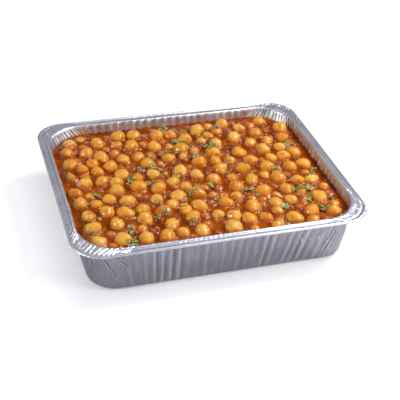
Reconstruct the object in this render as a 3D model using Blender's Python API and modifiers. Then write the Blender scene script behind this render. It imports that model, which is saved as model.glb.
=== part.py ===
"""A foil tray of chickpeas in sauce, in metres with +Z up.

The tray is a half-size catering pan pressed from one sheet of foil. Its walls are fluted, its
flange is pleated at the corners, and its edge is rolled into a bead. It holds chickpeas in a
thick sauce, with chopped coriander on top. The origin is the middle of the tray's underside,
and X runs along the tray's long side.
"""

import math
import random

import bmesh
import bpy
from mathutils import Euler, Vector

# The tray, over the rolled bead.
TRAY_LENGTH = 0.324
TRAY_WIDTH = 0.264
TRAY_HEIGHT = 0.065
FOIL = 0.0004
FLANGE_WIDTH = 0.0113
RIM_CORNER_RADIUS = 0.032
MOUTH_CORNER_RADIUS = 0.042
BASE_FILLET = 0.010
WALL_TAPER = 0.0075
CORNER_FULLNESS = 0.006
CORNER_FULL_DEPTH = 0.030
BEAD_RADIUS = 0.0016
CHANNEL_DEPTH = 0.0012

# The flutes of the walls and the pleats of the corners.
FLUTE_PITCH = 0.0097
FLUTE_DEPTH = 0.0007
FLUTES_FROM = 0.013
FLUTES_TO = 0.057
CREASE_DEPTH = 0.0005
PLEAT_DEPTH = 0.0004
PLEATS_PER_CORNER = 6
PLAIN_SIDE_STEPS = 4

# The food.
FOOD_CLEARANCE = 0.0004
SAUCE_LEVEL = 0.052
FOOD_TOP = 0.0605
CHICKPEA_COUNT = 152
CHICKPEA_LARGEST = 0.0200
CHICKPEA_SMALLEST = 0.0130
CHICKPEA_SEED = 11
CHICKPEA_TRIES = 16
CHICKPEA_EDGE_SHARE = 1.14
SUNK_FROM_SHARE = 0.62
SUNK_DEEPEST = 0.55
SETTLE_ROUNDS = 40
SETTLE_CLOSENESS = 0.95
CHICKPEA_SEGMENTS = 7
CHICKPEA_RINGS = 5
CORIANDER_COUNT = 36
CORIANDER_LARGEST = 0.0115
CORIANDER_SMALLEST = 0.0055
CORIANDER_THICKNESS = 0.0006
CORIANDER_SEED = 5

# Values that follow from the ones above.
RIM_HALF = Vector((TRAY_LENGTH / 2, TRAY_WIDTH / 2)) - Vector((FOIL, FOIL))
MOUTH_HALF = RIM_HALF - Vector((FLANGE_WIDTH, FLANGE_WIDTH))
RIM_TOP = TRAY_HEIGHT - FOIL
WALL_SLOPE = WALL_TAPER / (RIM_TOP - BASE_FILLET)

FOIL_COLOUR = (0.78, 0.79, 0.82, 1.0)
FOOD_COLOUR = (0.66, 0.25, 0.04, 1.0)


def clear_scene():
    for obj in list(bpy.data.objects):
        bpy.data.objects.remove(obj, do_unlink=True)


def new_collection(name):
    collection = bpy.data.collections.new(name)
    bpy.context.scene.collection.children.link(collection)
    return collection


def make_material(name, colour, roughness, metallic):
    material = bpy.data.materials.new(name)
    material.use_nodes = True
    shader = material.node_tree.nodes["Principled BSDF"]
    shader.inputs["Base Color"].default_value = colour
    shader.inputs["Roughness"].default_value = roughness
    shader.inputs["Metallic"].default_value = metallic
    return material


def object_from(mesh_builder, name, collection, material=None):
    """Turns a finished bmesh into an object in the collection."""
    mesh = bpy.data.meshes.new(name)
    mesh_builder.to_mesh(mesh)
    mesh_builder.free()
    if material:
        mesh.materials.append(material)
    obj = bpy.data.objects.new(name, mesh)
    collection.objects.link(obj)
    return obj


def even_steps(length):
    """How many points zigzag along a fluted side of this length: two to each flute."""
    return 2 * round(length / FLUTE_PITCH)


def fluted_steps():
    """Points along a long side, a short side and a corner of a fluted ring."""
    long_side = 2 * (MOUTH_HALF.x - MOUTH_CORNER_RADIUS)
    short_side = 2 * (MOUTH_HALF.y - MOUTH_CORNER_RADIUS)
    return even_steps(long_side), even_steps(short_side), 2 * PLEATS_PER_CORNER


def plain_steps():
    """Points along a long side, a short side and a corner of a ring with straight sides."""
    return PLAIN_SIDE_STEPS, PLAIN_SIDE_STEPS, 2 * PLEATS_PER_CORNER


def ring_points(half, radius, height, steps, side_relief=0.0, corner_relief=0.0, corner_lift=0.0):
    """Points round a rounded rectangle, each with its place from 0 to 8 along the eight runs.

    Every other point moves out and the rest move in by the relief, or up and down by the lift.
    """
    long_steps, short_steps, corner_steps = steps
    centre = half - Vector((radius, radius))
    signs = ((1, 1), (-1, 1), (-1, -1), (1, -1))
    points = []
    for quarter in range(4):
        before = Vector((centre.x * signs[quarter - 1][0], centre.y * signs[quarter - 1][1]))
        after = Vector((centre.x * signs[quarter][0], centre.y * signs[quarter][1]))
        facing = quarter * math.pi / 2
        outward = Vector((math.cos(facing), math.sin(facing)))
        side_steps = long_steps if quarter % 2 else short_steps
        for step in range(side_steps):
            swing = -1 if step % 2 == 0 else 1
            flat = before.lerp(after, step / side_steps) + outward * (radius + swing * side_relief)
            points.append((2 * quarter + step / side_steps, Vector((flat.x, flat.y, height))))
        for step in range(corner_steps):
            swing = -1 if step % 2 == 0 else 1
            angle = facing + math.pi / 2 * step / corner_steps
            reach = radius + swing * corner_relief
            flat = after + Vector((math.cos(angle), math.sin(angle))) * reach
            lifted = height + (swing * corner_lift if step else 0.0)
            points.append((2 * quarter + 1 + step / corner_steps, Vector((flat.x, flat.y, lifted))))
    return points


def join_rings(builder, lower, upper):
    """Faces between two rings, which may have different numbers of points."""
    if len(lower) == len(upper):
        for index in range(len(lower)):
            after = (index + 1) % len(lower)
            corners = (lower[index], lower[after], upper[after], upper[index])
            builder.faces.new([vertex for _, vertex in corners])
        return
    low, high = 0, 0
    while low < len(lower) or high < len(upper):
        low_here, high_here = lower[low % len(lower)], upper[high % len(upper)]
        low_next = lower[(low + 1) % len(lower)]
        high_next = upper[(high + 1) % len(upper)]
        low_place = low_next[0] if low + 1 < len(lower) else 8.0
        high_place = high_next[0] if high + 1 < len(upper) else 8.0
        step_low = high == len(upper) or (low < len(lower) and low_place <= high_place)
        third = low_next if step_low else high_next
        builder.faces.new((low_here[1], third[1], high_here[1]))
        if step_low:
            low += 1
        else:
            high += 1


def loft(builder, rings):
    """Skins the rings in order and returns them as lists of (place, vertex)."""
    made = [[(place, builder.verts.new(point)) for place, point in ring] for ring in rings]
    for lower, upper in zip(made, made[1:]):
        join_rings(builder, lower, upper)
    return made


def wall_reach(height):
    """How far outside the mouth's outline the wall stands at a height. It is negative, as it tapers."""
    if height >= BASE_FILLET:
        return -WALL_SLOPE * (RIM_TOP - height)
    sink = BASE_FILLET - height
    return -WALL_TAPER - BASE_FILLET + math.sqrt(BASE_FILLET**2 - sink**2)


def wall_corner_radius(reach, height):
    """The corners of the wall are fuller than an even offset of the mouth's, from just below it."""
    depth = min(1.0, (RIM_TOP - height) / CORNER_FULL_DEPTH)
    return MOUTH_CORNER_RADIUS + reach - CORNER_FULLNESS * depth


def inner_ring(reach, height, steps, **relief):
    """A ring of the wall or the base, offset from the mouth's outline."""
    half = MOUTH_HALF + Vector((reach, reach))
    return ring_points(half, wall_corner_radius(reach, height), height, steps, **relief)


def flange_ring(reach, height, pleats=0.0):
    """A ring of the flange. Its corners tighten from the mouth's radius to the rim's."""
    share = reach / FLANGE_WIDTH
    radius = MOUTH_CORNER_RADIUS + (RIM_CORNER_RADIUS - MOUTH_CORNER_RADIUS) * share
    half = MOUTH_HALF + Vector((reach, reach))
    return ring_points(half, radius, height, plain_steps(), corner_lift=pleats)


def base_rings():
    """The flat base and the curve that turns up into the wall."""
    rings = []
    for turn in (0, 35, 65):
        height = BASE_FILLET * (1 - math.cos(math.radians(turn)))
        rings.append(inner_ring(wall_reach(height), height, plain_steps()))
    return rings


def wall_rings():
    """The lower and the upper end of the flutes."""
    low = inner_ring(
        wall_reach(FLUTES_FROM), FLUTES_FROM, fluted_steps(), side_relief=FLUTE_DEPTH
    )
    high = inner_ring(
        wall_reach(FLUTES_TO),
        FLUTES_TO,
        fluted_steps(),
        side_relief=FLUTE_DEPTH,
        corner_relief=CREASE_DEPTH,
    )
    return [low, high]


def flange_rings():
    """The rounded inner edge, the shallow channel and the rolled bead, out from the mouth."""
    edge_rise = BEAD_RADIUS
    bead_middle = FLANGE_WIDTH - BEAD_RADIUS
    channel_floor = RIM_TOP - CHANNEL_DEPTH
    rings = [
        flange_ring(0.0, RIM_TOP - edge_rise),
        flange_ring(edge_rise, RIM_TOP - 0.2 * edge_rise),
        flange_ring(2.4 * edge_rise, channel_floor, PLEAT_DEPTH),
        flange_ring(bead_middle - 1.7 * BEAD_RADIUS, channel_floor, PLEAT_DEPTH),
    ]
    for turn in (145, 90, 45, 0, -80):
        reach = bead_middle + BEAD_RADIUS * math.cos(math.radians(turn))
        height = RIM_TOP - BEAD_RADIUS + BEAD_RADIUS * math.sin(math.radians(turn))
        rings.append(flange_ring(reach, height))
    return rings


def make_tray(collection, material):
    """The whole tray as one pressed sheet, lofted from the base to the bead."""
    builder = bmesh.new()
    made = loft(builder, base_rings() + wall_rings() + flange_rings())
    builder.faces.new([vertex for _, vertex in reversed(made[0])])
    tray = object_from(builder, "foil_tray", collection, material)
    sheet = tray.modifiers.new("Foil", "SOLIDIFY")
    sheet.thickness = FOIL
    sheet.offset = -1.0
    sheet.use_even_offset = False
    return tray


def sauce_half():
    """Half the length and half the width of the sauce at its top."""
    inset = wall_reach(SAUCE_LEVEL) - FLUTE_DEPTH - FOIL - FOOD_CLEARANCE
    half = MOUTH_HALF + Vector((inset, inset))
    return half, wall_corner_radius(inset, SAUCE_LEVEL)


def inside_sauce(x, y, margin):
    """Whether a point lies within the sauce's outline, at least the margin from its edge."""
    half, radius = sauce_half()
    over = Vector((abs(x) - (half.x - radius), abs(y) - (half.y - radius)))
    if over.x > 0 and over.y > 0:
        return over.length <= radius - margin
    return over.x <= radius - margin and over.y <= radius - margin


def scatter_chickpeas():
    """Every chickpea's place, size and turn. The later ones are smaller and lie deeper."""
    rng = random.Random(CHICKPEA_SEED)
    half, _ = sauce_half()
    peas = []
    for index in range(CHICKPEA_COUNT):
        share = index / (CHICKPEA_COUNT - 1)
        length = CHICKPEA_LARGEST + (CHICKPEA_SMALLEST - CHICKPEA_LARGEST) * share**1.3
        radius = length / 2
        best, best_gap = None, -1.0
        for _ in range(CHICKPEA_TRIES):
            x, y = rng.uniform(-half.x, half.x), rng.uniform(-half.y, half.y)
            if not inside_sauce(x, y, CHICKPEA_EDGE_SHARE * radius):
                continue
            gaps = [math.hypot(x - pea["x"], y - pea["y"]) - pea["spread"] for pea in peas]
            gap = min(gaps, default=0.0)
            if best is None or gap > best_gap:
                best, best_gap = (x, y), gap
        width = rng.uniform(0.86, 0.96)
        tall = rng.uniform(0.80, 0.92)
        deeper = max(0.0, share - SUNK_FROM_SHARE) / (1 - SUNK_FROM_SHARE)
        sunk = rng.uniform(-0.22, 0.12) + SUNK_DEEPEST * deeper
        top = min(SAUCE_LEVEL + radius * (tall - sunk), FOOD_TOP)
        cut = max(0.0, sunk) / tall
        peas.append(
            {
                "x": best[0],
                "y": best[1],
                "z": top - radius * tall,
                "radius": radius,
                "spread": radius * math.sqrt(1 - cut**2),
                "size": Vector((radius, radius * width, radius * tall)),
                "turn": rng.uniform(0, 2 * math.pi),
            }
        )
    settle(peas)
    return peas


def settle(peas):
    """Moves chickpeas that crowd each other apart, and back from the edge, a little at a time."""
    for _ in range(SETTLE_ROUNDS):
        for index, pea in enumerate(peas):
            for other in peas[:index]:
                across = Vector((pea["x"] - other["x"], pea["y"] - other["y"]))
                short = SETTLE_CLOSENESS * (pea["spread"] + other["spread"]) - across.length
                if short > 0:
                    push = across.normalized() * short / 2
                    pea["x"], pea["y"] = pea["x"] + push.x, pea["y"] + push.y
                    other["x"], other["y"] = other["x"] - push.x, other["y"] - push.y
        for pea in peas:
            while not inside_sauce(pea["x"], pea["y"], CHICKPEA_EDGE_SHARE * pea["radius"]):
                pea["x"] *= 0.99
                pea["y"] *= 0.99


def make_chickpea(pea, name, collection):
    """A rounded seed, drawn out to a blunt beak at one end."""
    builder = bmesh.new()
    bmesh.ops.create_uvsphere(
        builder, u_segments=CHICKPEA_SEGMENTS, v_segments=CHICKPEA_RINGS, radius=1.0
    )
    beak = Vector((1.0, 0.0, 0.3)).normalized()
    for vertex in builder.verts:
        nearness = max(0.0, vertex.co.dot(beak))
        vertex.co *= 1 + 0.12 * nearness**6
    obj = object_from(builder, name, collection)
    obj.scale = pea["size"]
    obj.rotation_euler = Euler((0.0, 0.0, pea["turn"]))
    obj.location = (pea["x"], pea["y"], pea["z"])
    return obj


def surface_at(x, y, peas):
    """Height and upward direction of the food's surface, over the sauce and the chickpeas."""
    height, upward = SAUCE_LEVEL, Vector((0, 0, 1))
    for pea in peas:
        across = Vector((x - pea["x"], y - pea["y"]))
        round_radius = 0.95 * pea["radius"]
        if across.length >= round_radius:
            continue
        tall = pea["size"].z
        share = math.sqrt(1 - (across.length / round_radius) ** 2)
        if pea["z"] + tall * share > height:
            height = pea["z"] + tall * share
            slope = across / round_radius**2
            upward = Vector((slope.x, slope.y, share / tall)).normalized()
    return height, upward


def make_coriander(index, rng, peas, collection):
    """A chopped leaf: a thin wavy plate of three lobes that lies on what is below it."""
    share = index / (CORIANDER_COUNT - 1)
    length = CORIANDER_LARGEST + (CORIANDER_SMALLEST - CORIANDER_LARGEST) * share
    half, _ = sauce_half()
    x, y = 0.0, 0.0
    placed = False
    while not placed:
        x, y = rng.uniform(-half.x, half.x), rng.uniform(-half.y, half.y)
        height, upward = surface_at(x, y, peas)
        low_enough = height + 0.003 < FOOD_TOP and upward.z > 0.55
        placed = low_enough and inside_sauce(x, y, length)
    outline = []
    for point in range(7):
        angle = 2 * math.pi * point / 7
        reach = length / 2 * (0.72 + 0.28 * math.cos(3 * angle))
        lift = 0.0007 * math.sin(2 * angle + index)
        outline.append(Vector((reach * math.cos(angle), 0.8 * reach * math.sin(angle), lift)))
    builder = bmesh.new()
    faces = []
    for side in (-1, 1):
        shift = Vector((0, 0, side * CORIANDER_THICKNESS / 2))
        middle = builder.verts.new(shift)
        edge = [builder.verts.new(point + shift) for point in outline]
        faces.append(edge)
        for start, end in zip(edge, edge[1:] + edge[:1]):
            builder.faces.new((middle, start, end) if side > 0 else (middle, end, start))
    under, over = faces
    for point in range(7):
        after = (point + 1) % 7
        builder.faces.new((under[point], under[after], over[after]))
        builder.faces.new((under[point], over[after], over[point]))
    obj = object_from(builder, f"coriander_{index:02d}", collection)
    tilt = upward.to_track_quat("Z", "Y")
    spin = Euler((0.0, 0.0, rng.uniform(0, 2 * math.pi))).to_quaternion()
    obj.rotation_mode = "QUATERNION"
    obj.rotation_quaternion = tilt @ spin
    obj.location = Vector((x, y, height)) + upward * 0.3 * CORIANDER_THICKNESS
    return obj


def make_sauce(collection, material):
    """The body of sauce, which stands clear of the foil all round."""
    floor = FOIL + FOOD_CLEARANCE
    inset = FLUTE_DEPTH + FOIL + FOOD_CLEARANCE
    heights = [floor, floor + 0.35 * BASE_FILLET, FLUTES_FROM, SAUCE_LEVEL]
    reaches = [wall_reach(height) - inset for height in heights]
    reaches[0] -= 0.2 * BASE_FILLET
    builder = bmesh.new()
    rings = [inner_ring(reach, height, plain_steps()) for reach, height in zip(reaches, heights)]
    made = loft(builder, rings)
    builder.faces.new([vertex for _, vertex in reversed(made[0])])
    builder.faces.new([vertex for _, vertex in made[-1]])
    return object_from(builder, "chickpea_curry", collection, material)


def keep_largest_shell(mesh):
    """Fills any hollow that was sealed and drops any loose scrap: both are small separate shells."""
    builder = bmesh.new()
    builder.from_mesh(mesh)
    unseen = set(builder.verts)
    shells = []
    while unseen:
        shell, edge = set(), [next(iter(unseen))]
        while edge:
            vertex = edge.pop()
            if vertex in shell:
                continue
            shell.add(vertex)
            edge.extend(link.other_vert(vertex) for link in vertex.link_edges)
        unseen -= shell
        shells.append(shell)
    shells.sort(key=len)
    for shell in shells[:-1]:
        bmesh.ops.delete(builder, geom=list(shell), context="VERTS")
    builder.to_mesh(mesh)
    builder.free()


def fuse(core, pieces):
    """Joins a collection's objects to the core for good and removes them."""
    union = core.modifiers.new("Joined", "BOOLEAN")
    union.operation = "UNION"
    union.operand_type = "COLLECTION"
    union.collection = pieces
    union.solver = "EXACT"
    union.use_self = True
    graph = bpy.context.evaluated_depsgraph_get()
    joined = bpy.data.meshes.new_from_object(core.evaluated_get(graph))
    core.modifiers.clear()
    core.data = joined
    keep_largest_shell(joined)
    for obj in list(pieces.objects):
        bpy.data.objects.remove(obj, do_unlink=True)
    bpy.data.collections.remove(pieces)


def make_food(collection, material):
    """Sauce with the chickpeas and the coriander that show, joined into one solid."""
    pieces = new_collection("pieces_in_sauce")
    peas = scatter_chickpeas()
    for index, pea in enumerate(peas):
        make_chickpea(pea, f"chickpea_{index:03d}", pieces)
    rng = random.Random(CORIANDER_SEED)
    for index in range(CORIANDER_COUNT):
        make_coriander(index, rng, peas, pieces)
    sauce = make_sauce(collection, material)
    fuse(sauce, pieces)
    return sauce


def main():
    clear_scene()
    collection = new_collection("tray_of_chickpeas")
    make_tray(collection, make_material("foil", FOIL_COLOUR, 0.3, 1.0))
    make_food(collection, make_material("curry", FOOD_COLOUR, 0.35, 0.0))


main()
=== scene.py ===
"""The looks of a foil tray of chickpeas in sauce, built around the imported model.

The tray is one pressed sheet with fluted walls, gathered corners, a ridged flange and a rolled
bead. It holds a thick tomato sauce with chickpeas half sunk in it, chopped coriander, bits of
tomato and slivers of onion. X runs along the tray's long side, and +Z is up.
"""

import math
import random

import bmesh
import bpy
import numpy as np
from mathutils import Euler, Matrix, Vector, geometry, noise


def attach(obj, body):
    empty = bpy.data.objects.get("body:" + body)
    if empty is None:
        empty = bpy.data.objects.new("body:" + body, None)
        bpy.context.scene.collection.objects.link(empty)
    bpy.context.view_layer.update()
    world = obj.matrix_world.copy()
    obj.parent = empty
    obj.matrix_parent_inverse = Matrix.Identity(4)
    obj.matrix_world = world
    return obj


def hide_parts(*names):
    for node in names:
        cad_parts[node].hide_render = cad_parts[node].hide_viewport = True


# The tray, with the same driving dimensions as its source.
TRAY_LENGTH = 0.324
TRAY_WIDTH = 0.264
TRAY_HEIGHT = 0.065
FOIL = 0.0004
FLANGE_WIDTH = 0.0113
RIM_CORNER_RADIUS = 0.032
MOUTH_CORNER_RADIUS = 0.042
BASE_FILLET = 0.010
WALL_TAPER = 0.0075
CORNER_FULLNESS = 0.006
CORNER_FULL_DEPTH = 0.030
BEAD_RADIUS = 0.0016
CHANNEL_DEPTH = 0.0012
FLUTE_PITCH = 0.0097
FLUTE_DEPTH = 0.0007

# How finely the sheet is made, and what only shows close up.
COLUMNS_PER_FLUTE = 12
COLUMNS_PER_CORNER = 104
SHEET = 0.0003
GATHER_SPAN = 0.088
GATHER_SEED = 23
KNURL_DEPTH = 0.00018
PLEAT_HEIGHT = 0.0013
FOLD_DEPTH = 0.0007
FOLD_DROP = 0.0008
GATHER_LENGTHS = (0.014, 0.018, 0.022, 0.040)
# The corners are counted from the back right one, anticlockwise from above.
FULLNESS = (0.006, 0.006, 0.003, 0.013)
BACK_PINCH = 0.011
CORNER_LEAN = (0.0, 0.0, 0.32, 0.27)
CORNER_LEAN_REACH = (0.060, 0.055, 0.050, 0.095)
# The heights and turns that the sheet's rings stand at, from its floor inside to its underside.
HIDDEN_HEIGHTS = (0.0012, 0.012, 0.030, 0.044)
SEEN_HEIGHTS = (0.0475, 0.0495, 0.0510, 0.0525, 0.0540, 0.0555, 0.0570, 0.0585, 0.0600, 0.0615)
MOUTH_TURNS = (10, 35, 60, 90)
BEAD_TURNS = (158, 125, 95, 65, 35, 5, -30, -65, -100, -140)
OUTER_TOP = 0.0620
OUTER_STEP = 0.0021
OUTER_COUNT = 25
FILLET_TURNS = (75, 56, 38, 20, 0)
FLOOR_INSIDE = 0.0012
PANEL_HEIGHT = 0.0006
# Painted highlight and painted shade on each ring of the flange, from the mouth's edge to the outside of
# the bead.
FLANGE_PAINTED_LIGHT = (
    0.0, 0.3, 0.7, 0.7, 0.1, -0.45, -0.30, -0.12, -0.12, -0.45,
    -0.40, 0.1, 0.7, 0.9, 0.7, 0.2, -0.2, -0.5, -0.5, -0.3,
)
# How much of that painted highlight and painted shade shows on the right, the back, the left and the
# front.
PAINTED_HIGHLIGHT_SHARES = (1.0, 1.0, 1.0, 0.6)
PAINTED_SHADE_SHARES = (1.0, 0.7, 0.1, 1.2)
# How deep the flange's knurl is pressed on the same four sides, as a share of its depth.
KNURL_SHARES = (0.4, 0.6, 1.2, 0.4)

# The food, with the same driving dimensions as its source.
FOOD_CLEARANCE = 0.0004
SAUCE_LEVEL = 0.052
FOOD_TOP = 0.0605
CHICKPEA_COUNT = 152
CHICKPEA_LARGEST = 0.0200
CHICKPEA_SMALLEST = 0.0130
CHICKPEA_SEED = 11
CHICKPEA_TRIES = 16
CHICKPEA_EDGE_SHARE = 1.14
SUNK_FROM_SHARE = 0.62
SUNK_DEEPEST = 0.55
SETTLE_ROUNDS = 40
SETTLE_CLOSENESS = 0.95
CORIANDER_COUNT = 36
CORIANDER_LARGEST = 0.0115
CORIANDER_SMALLEST = 0.0055
CORIANDER_SEED = 5
# Where the photograph shows the fresher leaves.
BRIGHT_LEAVES = (
    (-0.0043, 0.0727), (-0.0213, 0.0512), (0.0361, 0.0504), (0.110, -0.050),
    (-0.0541, -0.0055), (-0.0108, -0.0311), (0.0102, -0.0196), (-0.0204, -0.0006),
)

# The larger chips of onion and stem: place, length, and width as a share of it.
LARGE_CHIPS = (
    (-0.0301, -0.0558, 0.0085, 0.60), (-0.0011, -0.0812, 0.0100, 0.28),
    (-0.0028, 0.0004, 0.0062, 0.34), (-0.0467, -0.0092, 0.0080, 0.34),
    (0.0691, -0.0536, 0.0130, 0.22), (0.0793, -0.0579, 0.0110, 0.22),
    (-0.1318, -0.0667, 0.0090, 0.26), (0.0420, 0.0170, 0.0090, 0.30),
)

# The small things that are strewn: how many, how large where it matters, and their seeds.
CHIP_COUNT = 44
CHIP_THICKEST = 0.0050
CHIP_SEED = 97
BRIGHT_LEAF = 0.0100
CRUMB_COUNT = 60
CRUMB_LARGEST = 0.0055
LEAF_SEED = 83
TOMATO_COUNT = 420
TOMATO_SEED = 59

# How the sauce stands against the foil and the chickpeas, and what lies sunk in it.
PEA_LIFT = 0.0010
SAUCE_GRAIN = 0.00115
SAUCE_EDGE_RISE = 0.0012
CLING_RISE = 0.0018
CLING_REACH = 0.0011
LUMP_HEIGHT = 0.0009
LUMP_COUNT = 700
LUMP_SEED = 31
GRAIN_SEED = 47
SUNK_COUNT = 120
SUNK_TRIES = 6000
SUNK_SEED = 19
PEA_TIP_SEED = 71

# The camera, fitted to the photograph: angles in degrees, lengths in metres, lens in mm.
CAMERA_YAW = -19.40
CAMERA_PITCH = 34.80
CAMERA_ROLL = 3.95
CAMERA_DISTANCE = 1.0768
CAMERA_AIM = (0.0176, 0.0284, 0.0)
CAMERA_LENS = 81.22
SENSOR_WIDTH = 36.0

# The floor's lift towards white, from close to the tray to farther off, and the lamps.
FLOOR_LIFT = (0.25, 0.46)
FLOOR_LIFT_REACH = 0.045
FOOT_HALF = (0.143, 0.113, 0.0)
LAMPS = {
    "key": {"place": (0.74, 0.10, 1.04), "aim": (0, 0, 0.03), "side": 0.50, "power": 8.8},
    "window": {"place": (-1.05, -0.22, 0.46), "aim": (0, 0, 0.05), "side": 0.24, "power": 3.9},
    "side": {"place": (0.50, -0.50, 0.50), "aim": (0.16, -0.16, 0.0), "side": 0.25, "power": 2.5},
}

# Values that follow from the ones above.
RIM_HALF = np.array((TRAY_LENGTH / 2, TRAY_WIDTH / 2)) - FOIL
MOUTH_HALF = RIM_HALF - FLANGE_WIDTH
RIM_TOP = TRAY_HEIGHT - FOIL
WALL_SLOPE = WALL_TAPER / (RIM_TOP - BASE_FILLET)
HALF_CORNER = MOUTH_CORNER_RADIUS * math.pi / 4
SIGNS = np.array(((1, 1), (-1, 1), (-1, -1), (1, -1)))
INNER_RINGS = 1 + len(HIDDEN_HEIGHTS) + len(SEEN_HEIGHTS)
OUTER_RINGS = OUTER_COUNT + len(FILLET_TURNS) + 2

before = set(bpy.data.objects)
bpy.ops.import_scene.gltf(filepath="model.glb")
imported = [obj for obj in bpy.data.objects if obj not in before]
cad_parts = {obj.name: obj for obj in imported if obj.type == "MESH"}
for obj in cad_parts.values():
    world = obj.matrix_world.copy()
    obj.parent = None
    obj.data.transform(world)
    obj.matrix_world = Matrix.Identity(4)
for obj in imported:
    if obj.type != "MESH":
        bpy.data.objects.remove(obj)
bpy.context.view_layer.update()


def smoothstep(low, high, value):
    """0 below low, 1 above high and smooth between. It takes numbers and arrays."""
    share = np.clip((np.asarray(value, float) - low) / (high - low), 0.0, 1.0)
    return share * share * (3 - 2 * share)


def noise_at(rows, scale, seed):
    """Smooth noise from about -1 to 1 at each row of coordinates, with features of a given scale."""
    shift = Vector((seed * 7.31, seed * 3.17, seed * 1.93))
    return np.array([noise.noise(Vector(row) / scale + shift) for row in rows])


def noise_along(place, scale, seed, across=0.0):
    """Smooth noise that changes along the tray's outline, and with a second distance across it."""
    rows = np.column_stack((place, np.full(len(place), across), np.zeros(len(place))))
    return noise_at(rows, scale, seed)


def finish_piece(obj, *nodes):
    """Makes a piece ride on the tray and stand for the nodes it covers."""
    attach(obj, "root")
    if nodes:
        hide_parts(*nodes)
    return obj


def object_of(mesh):
    """A new object in the scene that shows a mesh and has its name."""
    obj = bpy.data.objects.new(mesh.name, mesh)
    bpy.context.scene.collection.objects.link(obj)
    return obj


def built_object(builder, name):
    """A new object with the shape that a bmesh builder holds."""
    mesh = bpy.data.meshes.new(name)
    builder.to_mesh(mesh)
    builder.free()
    return object_of(mesh)


def mesh_object(name, points, faces, material=None, smooth=True):
    """A new object from points and faces."""
    mesh = bpy.data.meshes.new(name)
    mesh.from_pydata([tuple(point) for point in points], [], faces)
    mesh.validate()
    if smooth:
        mesh.shade_smooth()
    if material:
        mesh.materials.append(material)
    return object_of(mesh)


def face_outwards(obj):
    """Turns every face of a closed mesh to point out."""
    builder = bmesh.new()
    builder.from_mesh(obj.data)
    bmesh.ops.recalc_face_normals(builder, faces=builder.faces)
    if builder.calc_volume(signed=True) < 0:
        bmesh.ops.reverse_faces(builder, faces=builder.faces)
    builder.to_mesh(obj.data)
    builder.free()


def store_attribute(mesh, name, values, kind="FLOAT"):
    """Keeps a value, or a vector, for each point of a mesh under a name."""
    attribute = mesh.attributes.new(name, kind, "POINT")
    field = "vector" if kind == "FLOAT_VECTOR" else "value"
    flat = np.asarray(values, np.int32 if kind == "INT" else np.float32).ravel()
    attribute.data.foreach_set(field, flat)


# The tray's outline: columns of points that run up the walls and out over the flange.


def make_columns():
    """For each column: its quarter, whether it is in a corner, and its share of that run."""
    quarter, in_corner, share = [], [], []
    for turn in range(4):
        side = 2 * (MOUTH_HALF[1 - turn % 2] - MOUTH_CORNER_RADIUS)
        steps = COLUMNS_PER_FLUTE * round(side / FLUTE_PITCH)
        for step in range(steps):
            quarter.append(turn)
            in_corner.append(False)
            share.append(step / steps)
        for step in range(COLUMNS_PER_CORNER):
            quarter.append(turn)
            in_corner.append(True)
            share.append(step / COLUMNS_PER_CORNER)
    return np.array(quarter), np.array(in_corner), np.array(share)


QUARTER, IN_CORNER, SHARE = make_columns()


def outline(reach, radius):
    """Points round the tray at a reach out from the mouth, and their outward directions.

    The radius is one number, or one for each corner.
    """
    radius = np.broadcast_to(radius, (4,))
    corners = SIGNS * (MOUTH_HALF + reach - radius[:, None])
    side_share = np.where(IN_CORNER, 1.0, SHARE)
    start = corners[QUARTER - 1] + (corners[QUARTER] - corners[QUARTER - 1]) * side_share[:, None]
    reach_out = radius[QUARTER - 1] + (radius[QUARTER] - radius[QUARTER - 1]) * side_share
    angle = QUARTER * math.pi / 2 + np.where(IN_CORNER, SHARE * math.pi / 2, 0.0)
    outward = np.stack((np.cos(angle), np.sin(angle)), axis=1)
    return start + outward * reach_out[:, None], outward


def measure_columns():
    """Distance along the mouth, the nearest corner, and the signed distance from its middle."""
    points, _ = outline(0.0, MOUTH_CORNER_RADIUS)
    steps = np.linalg.norm(np.diff(points, axis=0), axis=1)
    along = np.concatenate(((0.0,), np.cumsum(steps)))
    side = np.where(QUARTER % 2 == 0, MOUTH_HALF[1], MOUTH_HALF[0]) * 2 - 2 * MOUTH_CORNER_RADIUS
    past = HALF_CORNER + SHARE * side
    short = HALF_CORNER + (1 - SHARE) * side
    nearest = np.where(IN_CORNER | (past > short), QUARTER, (QUARTER - 1) % 4)
    offset = np.where(past > short, -short, past)
    offset = np.where(IN_CORNER, (SHARE - 0.5) * 2 * HALF_CORNER, offset)
    return along, nearest, offset


ALONG, NEAREST_CORNER, FROM_CORNER = measure_columns()


def wall_reach(height):
    """How far outside the mouth's outline the wall stands at a height. It is negative, as it tapers."""
    if height >= BASE_FILLET:
        return -WALL_SLOPE * (RIM_TOP - height)
    sink = BASE_FILLET - height
    return -WALL_TAPER - BASE_FILLET + math.sqrt(BASE_FILLET**2 - sink**2)


def wall_corner_radius(reach, height, fullness=CORNER_FULLNESS):
    """The corners of the wall are fuller than an even offset of the mouth's, from just below it."""
    depth = min(1.0, (RIM_TOP - height) / CORNER_FULL_DEPTH)
    return MOUTH_CORNER_RADIUS + reach - fullness * depth


def back_pinch(height):
    """How much rounder the two back corners are where their foil is drawn in, half way up."""
    drawn_in = smoothstep(0.008, 0.040, height) * (1 - smoothstep(0.052, 0.064, height))
    return BACK_PINCH * float(drawn_in)


def flange_corner_radius(reach):
    """The corners' radius on the flange, which goes from the mouth's to the rim's."""
    share = reach / FLANGE_WIDTH
    return MOUTH_CORNER_RADIUS + (RIM_CORNER_RADIUS - MOUTH_CORNER_RADIUS) * share


def wall_radii(height):
    """The radius of each corner of the dressed wall at a height."""
    radius = wall_corner_radius(wall_reach(height), height, np.array(FULLNESS))
    return radius + np.array((1.0, 1.0, 0.0, 0.0)) * back_pinch(height)


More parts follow.
